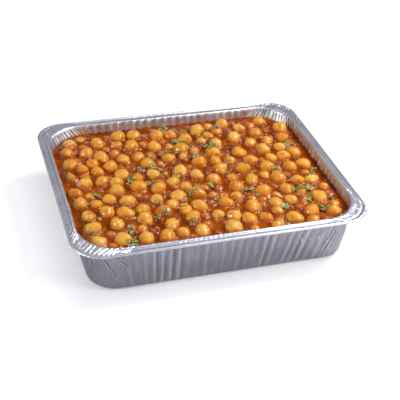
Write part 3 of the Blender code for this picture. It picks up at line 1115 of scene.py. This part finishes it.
def strip_variant(index, sides=8, steps=7):
    """A flat chip of onion or stem, one unit long and a little bent, with rounded ends."""
    rng = random.Random(300 + index)
    bend = rng.uniform(-0.15, 0.15)
    twist = rng.uniform(-0.1, 0.1)
    points = []
    for step in range(steps):
        along = step / (steps - 1)
        ends = math.sqrt(max(0.08, 1 - (2 * along - 1) ** 6))
        centre = Vector((along - 0.5, bend * (2 * along - 1) ** 2, twist * (along - 0.5)))
        for corner in range(sides):
            angle = 2 * math.pi * (corner + 0.5) / sides
            wide, tall = math.cos(angle), math.sin(angle)
            wide = math.copysign(abs(wide) ** 0.5, wide) * 0.5 * ends * rng.uniform(0.92, 1.05)
            points.append(centre + Vector((0, wide, 0.08 * ends * tall)))
    faces = []
    for step in range(steps - 1):
        for corner in range(sides):
            after = (corner + 1) % sides
            low, high = step * sides, (step + 1) * sides
            faces.append((low + corner, high + corner, high + after, low + after))
    faces.append(tuple(range(sides)))
    faces.append(tuple((steps - 1) * sides + corner for corner in reversed(range(sides))))
    obj = mesh_object(f"strip_shape_{index}", points, faces)
    face_outwards(obj)
    return obj


def bit_variant(index):
    """A bit of tomato or onion, one unit across: a soft uneven lump."""
    rng = random.Random(400 + index)
    shift = Vector((rng.uniform(0, 9), rng.uniform(0, 9), rng.uniform(0, 9)))
    builder = bmesh.new()
    bmesh.ops.create_icosphere(builder, subdivisions=2, radius=0.5)
    for vertex in builder.verts:
        ray = vertex.co.normalized()
        vertex.co = ray * 0.5 * (1 + 0.45 * noise.noise(ray * 1.7 + shift))
    return built_object(builder, f"bit_shape_{index}")


def laid_turn(upward, spin, tilt):
    """The turn of a thing that lies along a surface, spun about it and tipped a little."""
    lying = upward.to_track_quat("Z", "Y") @ Euler((tilt[0], tilt[1], spin)).to_quaternion()
    return tuple(lying.to_euler())


def coriander_places():
    """The clusters' places, by the same rule as the solids'."""
    rng = random.Random(CORIANDER_SEED)
    half, _ = sauce_half()
    places = []
    for index in range(CORIANDER_COUNT):
        share = index / (CORIANDER_COUNT - 1)
        length = CORIANDER_LARGEST + (CORIANDER_SMALLEST - CORIANDER_LARGEST) * share
        placed = False
        while not placed:
            x, y = rng.uniform(-half.x, half.x), rng.uniform(-half.y, half.y)
            height, upward = rough_surface(x, y)
            low_enough = height + 0.003 < FOOD_TOP and upward.z > 0.55
            placed = low_enough and inside_outline(x, y, length)
        rng.uniform(0, 2 * math.pi)  # The solids draw the cluster's turn here.
        places.append((x, y, length))
    return places


def rough_surface(x, y):
    """The solids' own measure of the food's height, which takes each chickpea as a round dome."""
    height, upward = SAUCE_LEVEL, Vector((0, 0, 1))
    for pea in PEAS:
        across = Vector((x - pea["x"], y - pea["y"]))
        round_radius = 0.95 * pea["radius"]
        if across.length >= round_radius:
            continue
        tall = pea["size"].z
        share = math.sqrt(1 - (across.length / round_radius) ** 2)
        if pea["z"] - PEA_LIFT + tall * share > height:
            height = pea["z"] - PEA_LIFT + tall * share
            slope = across / round_radius**2
            upward = Vector((slope.x, slope.y, share / tall)).normalized()
    return height, upward


def make_coriander(material):
    """Clusters of chopped leaves, each of a few leaves that overlap, and single crumbs of leaf."""
    rng = random.Random(LEAF_SEED)
    rows = []
    half, _ = sauce_half()
    clusters = coriander_places() + [(x, y, BRIGHT_LEAF) for x, y in BRIGHT_LEAVES]
    for _ in range(CRUMB_COUNT):
        x, y = rng.uniform(-half.x, half.x), rng.uniform(-half.y, half.y)
        clusters.append((x, y, rng.uniform(0.0035, 0.0060)))
    for x, y, length in clusters:
        bright = (x, y) in BRIGHT_LEAVES
        for _ in range(rng.choice((3, 4, 5)) if length > CRUMB_LARGEST else 1):
            spread = 0.45 * length
            px, py = x + rng.uniform(-spread, spread), y + rng.uniform(-spread, spread)
            if not inside_foil(px, py, 0.003):
                continue
            height, upward = food_surface(px, py)
            size = length * rng.uniform(0.75, 1.20)
            lift = rng.uniform(0.03, 0.16) * size
            tilt = rng.uniform(-0.35, 0.35), rng.uniform(-0.35, 0.35)
            place = Vector((px, py, height)) + upward * lift
            rows.append(
                {
                    "place": tuple(place),
                    "turn": laid_turn(upward, rng.uniform(0, 6.28), tilt),
                    "size": (size, size * rng.uniform(0.7, 1.0), size),
                    "variant": rng.randrange(4),
                    "tint": rng.uniform(0.7, 1.0) if bright else rng.uniform(0.0, 0.65),
                }
            )
    variants = [leaf_variant(index) for index in range(4)]
    return scatter("coriander", rows, variants, 0.0003, 0.0020, material, ("tint",))


def make_slivers(material):
    """Pale chips of onion and chopped stem that lie on the sauce and the chickpeas."""
    rng = random.Random(CHIP_SEED)
    half, _ = sauce_half()
    places = list(LARGE_CHIPS)
    while len(places) < CHIP_COUNT:
        x, y = rng.uniform(-half.x, half.x), rng.uniform(-half.y, half.y)
        size = rng.uniform(0.0022, 0.0050)
        wide = rng.uniform(0.25, 0.5)
        clear = all(
            math.hypot(x - pea["x"], y - pea["y"]) > pea["spread"] + 0.2 * size for pea in ALL_PEAS
        )
        if clear and inside_foil(x, y, 0.006):
            places.append((x, y, size, wide))
    rows = []
    for x, y, size, wide in places:
        height, upward = food_surface(x, y)
        thick = min(size, CHIP_THICKEST)
        rows.append(
            {
                "place": tuple(Vector((x, y, height)) + upward * (0.0004 + 0.05 * thick)),
                "turn": laid_turn(upward, rng.uniform(0, 6.28), (0.0, rng.uniform(-0.06, 0.06))),
                "size": (size, size * wide, thick),
                "variant": rng.randrange(4),
                "tint": rng.random(),
            }
        )
    variants = [strip_variant(index) for index in range(4)]
    return scatter("onion_slivers", rows, variants, 0.0002, 0.0015, material, ("tint",))


def make_bits(material):
    """Soft bits of tomato and onion that stand out of the sauce."""
    rng = random.Random(TOMATO_SEED)
    half, _ = sauce_half()
    rows = []
    while len(rows) < TOMATO_COUNT:
        x, y = rng.uniform(-half.x, half.x), rng.uniform(-half.y, half.y)
        if not inside_foil(x, y, 0.004):
            continue
        height, upward = food_surface(x, y)
        if height > SAUCE_LEVEL + 0.0028 or upward.z < 0.8:
            continue
        size = rng.uniform(0.0014, 0.0042)
        rows.append(
            {
                "place": tuple(Vector((x, y, height)) - upward * 0.12 * size),
                "turn": laid_turn(upward, rng.uniform(0, 6.28), (0.0, 0.0)),
                "size": (size, size * rng.uniform(0.5, 0.9), size * rng.uniform(0.4, 0.7)),
                "variant": rng.randrange(4),
                "tint": rng.random(),
            }
        )
    variants = [bit_variant(index) for index in range(4)]
    return scatter("tomato_bits", rows, variants, 0.0004, 0.0015, material, ("tint",))


# Materials.


def new_material(name):
    material = bpy.data.materials.new(name)
    material.use_nodes = True
    return material, material.node_tree, material.node_tree.nodes["Principled BSDF"]


def object_place(tree):
    return tree.nodes.new("ShaderNodeTexCoord").outputs["Object"]


def ramp(tree, source, low, high, to_low=0.0, to_high=1.0):
    """A value that runs from to_low to to_high while the source runs from low to high."""
    values = {"Value": source, "From Min": low, "From Max": high, "To Min": to_low, "To Max": to_high}
    return add_node(tree, "ShaderNodeMapRange", values, clamp=True).outputs["Result"]


def mix_colour(tree, share, first, second):
    """A colour between two others, at a share from 0 for the first to 1 for the second."""
    node = add_node(tree, "ShaderNodeMix", data_type="RGBA")
    for name, value in (("Factor", share), ("A", first), ("B", second)):
        feed(tree, [s for s in node.inputs if s.name == name and s.enabled][0], value)
    return [s for s in node.outputs if s.enabled][0]


def attribute_value(tree, name):
    return add_node(tree, "ShaderNodeAttribute", attribute_name=name).outputs["Fac"]


def bump_node(tree, height, strength, distance, before=None):
    """A normal bent by a height's slope, on top of another normal where one is given."""
    values = {"Height": height, "Strength": strength, "Distance": distance}
    if before:
        values["Normal"] = before
    return add_node(tree, "ShaderNodeBump", values).outputs["Normal"]


def height_of(tree, place):
    return add_node(tree, "ShaderNodeSeparateXYZ", {"Vector": place}).outputs["Z"]


def new_group(name, inputs, outputs):
    """A shader node group with named inputs and outputs, and the outputs of its input node."""
    tree = bpy.data.node_groups.new(name, "ShaderNodeTree")
    for way, sockets in (("INPUT", inputs), ("OUTPUT", outputs)):
        for socket, kind in sockets.items():
            tree.interface.new_socket(socket, in_out=way, socket_type="NodeSocket" + kind)
    return tree, tree.nodes.new("NodeGroupInput").outputs


def use_group(tree, group, values):
    """Places a group in a tree with its own values, and returns its outputs."""
    return add_node(tree, "ShaderNodeGroup", values, node_tree=group).outputs


def crease_group():
    """A long crease from a start to an end on a wall that faces outwards: a ridge beside a slot.

    Bow is how far its middle stands off the straight line between its ends.
    """
    inputs = dict.fromkeys(("Place", "Start", "End", "Facing"), "Vector")
    inputs.update(Width="Float", Bow="Float")
    tree, given = new_group("Crease line", inputs, {"Ridge": "Float", "Slot": "Float"})
    run = vector_math(tree, "SUBTRACT", given["End"], given["Start"])
    from_start = vector_math(tree, "SUBTRACT", given["Place"], given["Start"])
    length = vector_math(tree, "DOT_PRODUCT", run, run)
    done = vector_math(tree, "DOT_PRODUCT", from_start, run)
    share = math_node(tree, "DIVIDE", done, length, False)
    left = vector_math(tree, "SUBTRACT", from_start, vector_math(tree, "SCALE", run, share))
    across = vector_math(tree, "CROSS_PRODUCT", run, given["Facing"])
    across = vector_math(tree, "NORMALIZE", across)
    side = vector_math(tree, "DOT_PRODUCT", left, across)
    off = vector_math(tree, "DOT_PRODUCT", left, given["Facing"])

    def plain(operation, first, second):
        return math_node(tree, operation, first, second, False)

    curve = plain("MULTIPLY", share, plain("SUBTRACT", 1.0, share))
    wander = noise_node(tree, given["Place"], 160.0, 1.0)
    curve = plain("MULTIPLY", plain("MULTIPLY", curve, 4.0), given["Bow"])
    wander = plain("MULTIPLY", plain("SUBTRACT", wander, 0.5), 0.0022)
    side = plain("ADD", plain("SUBTRACT", side, curve), wander)
    side = plain("DIVIDE", side, given["Width"])
    near = ramp(tree, plain("ABSOLUTE", off, 0.0), 0.008, 0.012, 1.0, 0.0)
    fade = ramp(tree, share, 0.7, 1.04, 1.0, 0.0)
    ends = math_node(tree, "MULTIPLY", ramp(tree, share, -0.04, 0.04), fade)
    shown = math_node(tree, "MULTIPLY", near, ends)
    result = tree.nodes.new("NodeGroupOutput")
    for name, middle in (("Ridge", 0.75), ("Slot", -0.45)):
        away = plain("ABSOLUTE", plain("SUBTRACT", side, middle), 0.0)
        line = ramp(tree, away, 0.1, 0.8, 1.0, 0.0)
        link(tree, math_node(tree, "MULTIPLY", line, shown), result.inputs[name])
    return tree


# Each crease's start, end, outward direction, width and bow: five at the front left corner, then
# five at the front right one.
CREASES = (
    ((-0.1345, -0.1110, 0.0560), (-0.1140, -0.1140, 0.0180), (-0.38, -0.92, -0.12), 0.0011, 0.0),
    ((-0.1235, -0.1170, 0.0565), (-0.1010, -0.1153, 0.0280), (-0.15, -0.98, -0.12), 0.0008, -0.0008),
    ((-0.1160, -0.1180, 0.0560), (-0.1050, -0.1167, 0.0380), (-0.05, -0.99, -0.12), 0.0007, 0.0),
    ((-0.1418, -0.1007, 0.0560), (-0.1372, -0.1017, 0.0210), (-0.81, -0.57, -0.12), 0.0010, 0.0),
    ((-0.1448, -0.0955, 0.0520), (-0.1424, -0.0940, 0.0240), (-0.92, -0.37, -0.12), 0.0008, 0.0),
    ((0.1245, -0.1180, 0.0590), (0.1062, -0.1122, 0.0070), (0.05, -0.99, -0.12), 0.0010, 0.0012),
    ((0.1262, -0.1178, 0.0590), (0.1170, -0.1173, 0.0420), (0.15, -0.98, -0.12), 0.0008, 0.0),
    ((0.1340, -0.1135, 0.0580), (0.1262, -0.1149, 0.0270), (0.36, -0.92, -0.12), 0.0009, 0.0),
    ((0.1450, -0.1050, 0.0540), (0.1280, -0.1135, 0.0220), (0.56, -0.82, -0.12), 0.0009, 0.0),
    ((0.1215, -0.1165, 0.0440), (0.1120, -0.1130, 0.0120), (0.10, -0.98, -0.12), 0.0016, 0.0),
)
CREASE_LINE = crease_group()


def foil_material():
    """Bright pressed aluminium foil: fine rolling marks, stretch streaks and creases, with painted light:
    a rim painted brighter, an outer wall painted darker as shade, and painted highlight and painted shade
    on the creases, the flange and the flutes.
    """
    material, tree, shader = new_material("pressed_aluminium_foil")
    place = object_place(tree)
    height = height_of(tree, place)
    rim_share = ramp(tree, height, 0.0600, 0.0630)
    blotch = noise_node(tree, place, 55.0, 3.0)
    stretch = add_node(tree, "ShaderNodeMapping", {"Vector": place, "Scale": (1.0, 1.0, 0.06)})
    drawn = noise_node(tree, stretch.outputs["Vector"], 420.0, 2.0)
    # The outer wall is painted darker than the inside and the rim, a painted shade; the blotches vary its
    # tone at random.
    wall = mix_colour(tree, blotch, (0.275, 0.265, 0.315), (0.365, 0.355, 0.415))
    # Inside, the stretched foil shows bright streaks between duller ones.
    inside = attribute_value(tree, "inside")
    wall = mix_colour(tree, inside, wall, (0.64, 0.64, 0.68))
    bright = mix_colour(tree, inside, (0.42, 0.42, 0.46), (1.0, 1.0, 1.0))
    wall = mix_colour(tree, ramp(tree, drawn, 0.54, 0.72), wall, bright)
    ridge, slot = 0.0, 0.0
    for start, end, facing, width, bow in CREASES:
        values = {"Start": start, "End": end, "Facing": facing, "Width": width, "Bow": bow}
        values["Place"] = place
        crease = use_group(tree, CREASE_LINE, values)
        ridge = math_node(tree, "MAXIMUM", crease["Ridge"], ridge)
        slot = math_node(tree, "MAXIMUM", crease["Slot"], slot)
    outside = math_node(tree, "SUBTRACT", 1.0, inside)
    ridge = math_node(tree, "MULTIPLY", ridge, outside)
    slot = math_node(tree, "MULTIPLY", slot, outside)
    # Painted highlight along each crease's ridge and painted shade in its slot, over the creases' bump.
    wall = mix_colour(tree, math_node(tree, "MULTIPLY", ridge, 0.4), wall, (0.98, 0.98, 1.0))
    wall = mix_colour(tree, math_node(tree, "MULTIPLY", slot, 0.85), wall, (0.04, 0.04, 0.05))
    # The rim is painted brighter than the wall, a painted highlight; the blotches vary its tone at
    # random.
    rim = mix_colour(tree, blotch, (0.70, 0.69, 0.80), (0.86, 0.84, 0.94))
    foil = mix_colour(tree, rim_share, wall, rim)
    # Painted highlight where the rings' value is high, towards white, and painted shade where it is low,
    # towards a dark colour.
    streak = attribute_value(tree, "streak")
    foil = mix_colour(tree, ramp(tree, streak, 0.2, 1.0), foil, (1.0, 1.0, 1.0))
    shade = mix_colour(tree, rim_share, (0.10, 0.09, 0.08), (0.18, 0.19, 0.24))
    foil = mix_colour(tree, ramp(tree, streak, -1.0, -0.1, 0.85, 0.0), foil, shade)
    link(tree, foil, shader.inputs["Base Color"])
    shader.inputs["Metallic"].default_value = 1.0
    satin = ramp(tree, blotch, 0.3, 0.7, 0.28, 0.38)
    matt = math_node(tree, "MULTIPLY", inside, 0.18)
    link(tree, math_node(tree, "ADD", satin, matt), shader.inputs["Roughness"])
    crinkle = noise_node(tree, place, 320.0, 3.0, 0.6)
    crinkle = math_node(tree, "MULTIPLY", crinkle, ramp(tree, rim_share, 0.0, 1.0, 0.1, 1.0))
    first = bump_node(tree, crinkle, 0.80, 0.0006)
    first = bump_node(tree, math_node(tree, "SUBTRACT", ridge, slot), 0.7, 0.0006, first)
    link(tree, bump_node(tree, drawn, 0.20, 0.0004, first), shader.inputs["Normal"])
    return material


def sauce_material():
    """Thick oily tomato sauce: dark red-brown pools, orange lumps and a wet shine."""
    material, tree, shader = new_material("tomato_sauce")
    place = object_place(tree)
    broad = noise_node(tree, place, 70.0, 3.0)
    fine = noise_node(tree, place, 420.0, 3.0, 0.6)
    pool = mix_colour(tree, ramp(tree, broad, 0.35, 0.65), (0.20, 0.026, 0.001), (0.40, 0.075, 0.001))
    grain = ramp(tree, fine, 0.52, 0.70)
    grainy = mix_colour(tree, math_node(tree, "MULTIPLY", grain, 0.55), pool, (0.55, 0.14, 0.006))
    bump = attribute_value(tree, "bump")
    lumpy = math_node(tree, "MULTIPLY", ramp(tree, bump, 0.2, 0.9), 0.7)
    link(tree, mix_colour(tree, lumpy, grainy, (0.60, 0.165, 0.008)), shader.inputs["Base Color"])
    link(tree, ramp(tree, fine, 0.3, 0.8, 0.10, 0.24), shader.inputs["Roughness"])
    shader.inputs["Specular IOR Level"].default_value = 0.0
    cling = attribute_value(tree, "cling")
    link(tree, ramp(tree, cling, 0.20, 0.60, 0.07, 1.0), shader.inputs["Coat Weight"])
    shader.inputs["Coat Roughness"].default_value = 0.07
    shader.inputs["Coat IOR"].default_value = 1.6
    first = bump_node(tree, fine, 0.8, 0.0012)
    ripple = noise_node(tree, place, 190.0, 2.0)
    link(tree, bump_node(tree, ripple, 0.35, 0.0015, first), shader.inputs["Normal"])
    return material


def chickpea_material():
    """Soft golden chickpea under a film of sauce that is thicker low down and in patches."""
    material, tree, shader = new_material("chickpea_skin")
    place = object_place(tree)
    height = height_of(tree, place)
    tint = attribute_value(tree, "tint")
    coat = attribute_value(tree, "coat")
    mottle = noise_node(tree, place, 210.0, 3.0, 0.55)
    skin = mix_colour(tree, tint, (0.82, 0.34, 0.012), (0.92, 0.52, 0.080))
    skin = mix_colour(tree, ramp(tree, mottle, 0.35, 0.75, 0.0, 0.6), skin, (0.78, 0.26, 0.006))
    patch = noise_node(tree, place, 120.0, 3.0, 0.6)
    low = ramp(tree, height, SAUCE_LEVEL + 0.0006, SAUCE_LEVEL + 0.0064, 0.66, 0.0)
    cover = math_node(tree, "ADD", low, math_node(tree, "MULTIPLY", coat, 0.5))
    cover = math_node(tree, "ADD", cover, ramp(tree, patch, 0.3, 0.75, -0.52, 0.60))
    film = ramp(tree, cover, 0.12, 0.70, 0.0, 0.95)
    link(tree, mix_colour(tree, film, skin, (0.62, 0.150, 0.002)), shader.inputs["Base Color"])
    shader.inputs["Specular IOR Level"].default_value = 0.15
    link(tree, ramp(tree, mottle, 0.3, 0.7, 0.36, 0.50), shader.inputs["Roughness"])
    shader.inputs["Subsurface Weight"].default_value = 0.12
    shader.inputs["Subsurface Radius"].default_value = (1.0, 0.45, 0.12)
    shader.inputs["Subsurface Scale"].default_value = 0.003
    shader.inputs["Coat Weight"].default_value = 0.75
    shader.inputs["Coat Roughness"].default_value = 0.07
    shader.inputs["Coat IOR"].default_value = 1.55
    wrinkle = noise_node(tree, place, 620.0, 3.0, 0.6)
    first = bump_node(tree, mottle, 0.40, 0.0014)
    wet = bump_node(tree, wrinkle, 0.35, 0.0006, first)
    link(tree, wet, shader.inputs["Normal"])
    link(tree, first, shader.inputs["Coat Normal"])
    return material


def stain_and_sheen_group():
    """Food in patches of a second colour: a real stain on the onion and tomato, a painted highlight on
    the coriander. It puts out the colour, the roughness and the patches as a height.

    Low and High are the noise's values where the second colour starts and is at its most.
    """
    inputs = {"Place": "Vector", "Fresh": "Color", "Stain": "Color"}
    inputs.update(dict.fromkeys(("Scale", "Detail", "Low", "High", "Most", "Smooth", "Rough"), "Float"))
    outputs = {"Colour": "Color", "Roughness": "Float", "Height": "Float"}
    tree, given = new_group("Stained food", inputs, outputs)
    patches = noise_node(tree, given["Place"], given["Scale"], given["Detail"])
    share = ramp(tree, patches, given["Low"], given["High"], 0.0, given["Most"])
    result = tree.nodes.new("NodeGroupOutput")
    link(tree, mix_colour(tree, share, given["Fresh"], given["Stain"]), result.inputs["Colour"])
    link(tree, ramp(tree, patches, 0.3, 0.7, given["Smooth"], given["Rough"]), result.inputs["Roughness"])
    link(tree, patches, result.inputs["Height"])
    return tree


STAIN_AND_SHEEN = stain_and_sheen_group()


def stain_and_sheen_material(name, fresh, stain_and_sheen, coat, relief, relief_depth, **values):
    """A garnish's material. Each of its two colours runs with the piece's tint between two ends."""
    material, tree, shader = new_material(name)
    tint = attribute_value(tree, "tint")
    values["Place"] = object_place(tree)
    values["Fresh"] = mix_colour(tree, tint, *fresh)
    values["Stain"] = mix_colour(tree, tint, *stain_and_sheen)
    food = use_group(tree, STAIN_AND_SHEEN, values)
    link(tree, food["Colour"], shader.inputs["Base Color"])
    link(tree, food["Roughness"], shader.inputs["Roughness"])
    shader.inputs["Coat Weight"].default_value = coat
    link(tree, bump_node(tree, food["Height"], relief, relief_depth), shader.inputs["Normal"])
    return material


def leaf_material():
    """Wet coriander, from dark olive to fresh green, with pale patches that are a painted highlight."""
    green = ((0.15, 0.14, 0.030), (0.25, 0.31, 0.025))
    # The pale patches stand in for the leaves' highlights: a painted highlight.
    painted_sheen = ((0.60, 0.54, 0.27), (0.62, 0.63, 0.22))
    values = dict(Scale=900.0, Detail=2.0, Low=0.42, High=0.62, Most=0.9, Smooth=0.25, Rough=0.42)
    return stain_and_sheen_material("coriander_leaf", green, painted_sheen, 0.3, 0.4, 0.0005, **values)


def sliver_material():
    """Translucent slivers of onion and stem, stained by the sauce."""
    fresh = ((0.86, 0.62, 0.26), (0.68, 0.62, 0.24))
    stain_and_sheen = ((0.66, 0.24, 0.04),) * 2
    values = dict(Scale=500.0, Detail=2.0, Low=0.50, High=0.80, Most=0.5, Smooth=0.15, Rough=0.30)
    return stain_and_sheen_material("onion_sliver", fresh, stain_and_sheen, 0.3, 0.3, 0.0004, **values)


def bit_material():
    """Cooked tomato and onion, from red-brown to pale orange."""
    fresh = ((0.30, 0.045, 0.003), (0.76, 0.28, 0.040))
    stain_and_sheen = ((0.38, 0.080, 0.003),) * 2
    values = dict(Scale=600.0, Detail=3.0, Low=0.4, High=0.7, Most=0.6, Smooth=0.12, Rough=0.28)
    return stain_and_sheen_material("tomato_bit", fresh, stain_and_sheen, 0.4, 0.4, 0.0005, **values)


# The setting: floor, light and camera.


def make_floor():
    """A wide pale floor, for the picture only."""
    material, tree, shader = new_material("pale_floor")
    shader.inputs["Base Color"].default_value = (0.93, 0.93, 0.94, 1.0)
    shader.inputs["Roughness"].default_value = 0.9
    # The floor is lifted towards white for the camera alone, as a cut-out studio backdrop is,
    # and less so close to the tray, which keeps the light off it.
    seen = tree.nodes.new("ShaderNodeLightPath").outputs["Is Camera Ray"]
    shader.inputs["Emission Color"].default_value = (1.0, 1.0, 1.0, 1.0)
    beside = vector_math(tree, "ABSOLUTE", object_place(tree))
    beside = vector_math(tree, "SUBTRACT", beside, FOOT_HALF)
    beside = vector_math(tree, "MAXIMUM", beside, (0.0, 0.0, 0.0))
    away = vector_math(tree, "LENGTH", beside)
    lift = ramp(tree, away, 0.0, FLOOR_LIFT_REACH, *FLOOR_LIFT)
    link(tree, math_node(tree, "MULTIPLY", seen, lift), shader.inputs["Emission Strength"])
    points = [(-4, -4, 0), (4, -4, 0), (4, 4, 0), (-4, 4, 0)]
    floor = mesh_object("floor", points, [(0, 1, 2, 3)], material, False)


def area_light(name, place, aim, side, power):
    """A square lamp at a place, turned to face its aim."""
    data = bpy.data.lights.new(name, "AREA")
    data.shape = "RECTANGLE"
    data.size = side
    data.size_y = side
    data.energy = power
    light = bpy.data.objects.new(name, data)
    light.location = place
    light.rotation_euler = (Vector(place) - Vector(aim)).to_track_quat("Z", "Y").to_euler()
    bpy.context.scene.collection.objects.link(light)


def make_light():
    """A studio: a sky that is bright overhead, and three lamps."""
    world = bpy.data.worlds.new("studio")
    bpy.context.scene.world = world
    world.use_nodes = True
    background = world.node_tree.nodes["Background"]
    background.inputs["Color"].default_value = (0.93, 0.96, 1.0, 1.0)
    # In a world, Position is the direction looked in: dark round the horizon, bright overhead.
    direction = world.node_tree.nodes.new("ShaderNodeNewGeometry").outputs["Position"]
    upward = height_of(world.node_tree, direction)
    overhead = ramp(world.node_tree, upward, 0.20, 0.60, 0.10, 0.46)
    link(world.node_tree, overhead, background.inputs["Strength"])
    for name, lamp in LAMPS.items():
        area_light(name, **lamp)


def make_camera():
    """The camera, turned about its aim by the yaw and the pitch, and rolled about its own line."""
    yaw, pitch, roll = (math.radians(a) for a in (CAMERA_YAW, CAMERA_PITCH, CAMERA_ROLL))
    back = Vector((math.sin(yaw) * math.cos(pitch), -math.cos(yaw) * math.cos(pitch), math.sin(pitch)))
    right = Vector((math.cos(yaw), math.sin(yaw), 0.0))
    up = back.cross(right)
    across = math.cos(roll) * right + math.sin(roll) * up
    upright = -math.sin(roll) * right + math.cos(roll) * up
    data = bpy.data.cameras.new("camera")
    data.lens = CAMERA_LENS
    data.sensor_width = SENSOR_WIDTH
    data.clip_start = 0.01
    camera = bpy.data.objects.new("camera", data)
    camera.matrix_world = Matrix.Translation(Vector(CAMERA_AIM) + back * CAMERA_DISTANCE) @ (
        Matrix((across, upright, back)).transposed().to_4x4()
    )
    bpy.context.scene.collection.objects.link(camera)
    bpy.context.scene.camera = camera


make_camera()
make_light()
make_floor()
make_tray(foil_material())
make_sauce(sauce_material())
make_chickpeas(chickpea_material())
make_coriander(leaf_material())
make_slivers(sliver_material())
make_bits(bit_material())

bpy.context.scene.view_settings.view_transform = "Standard"
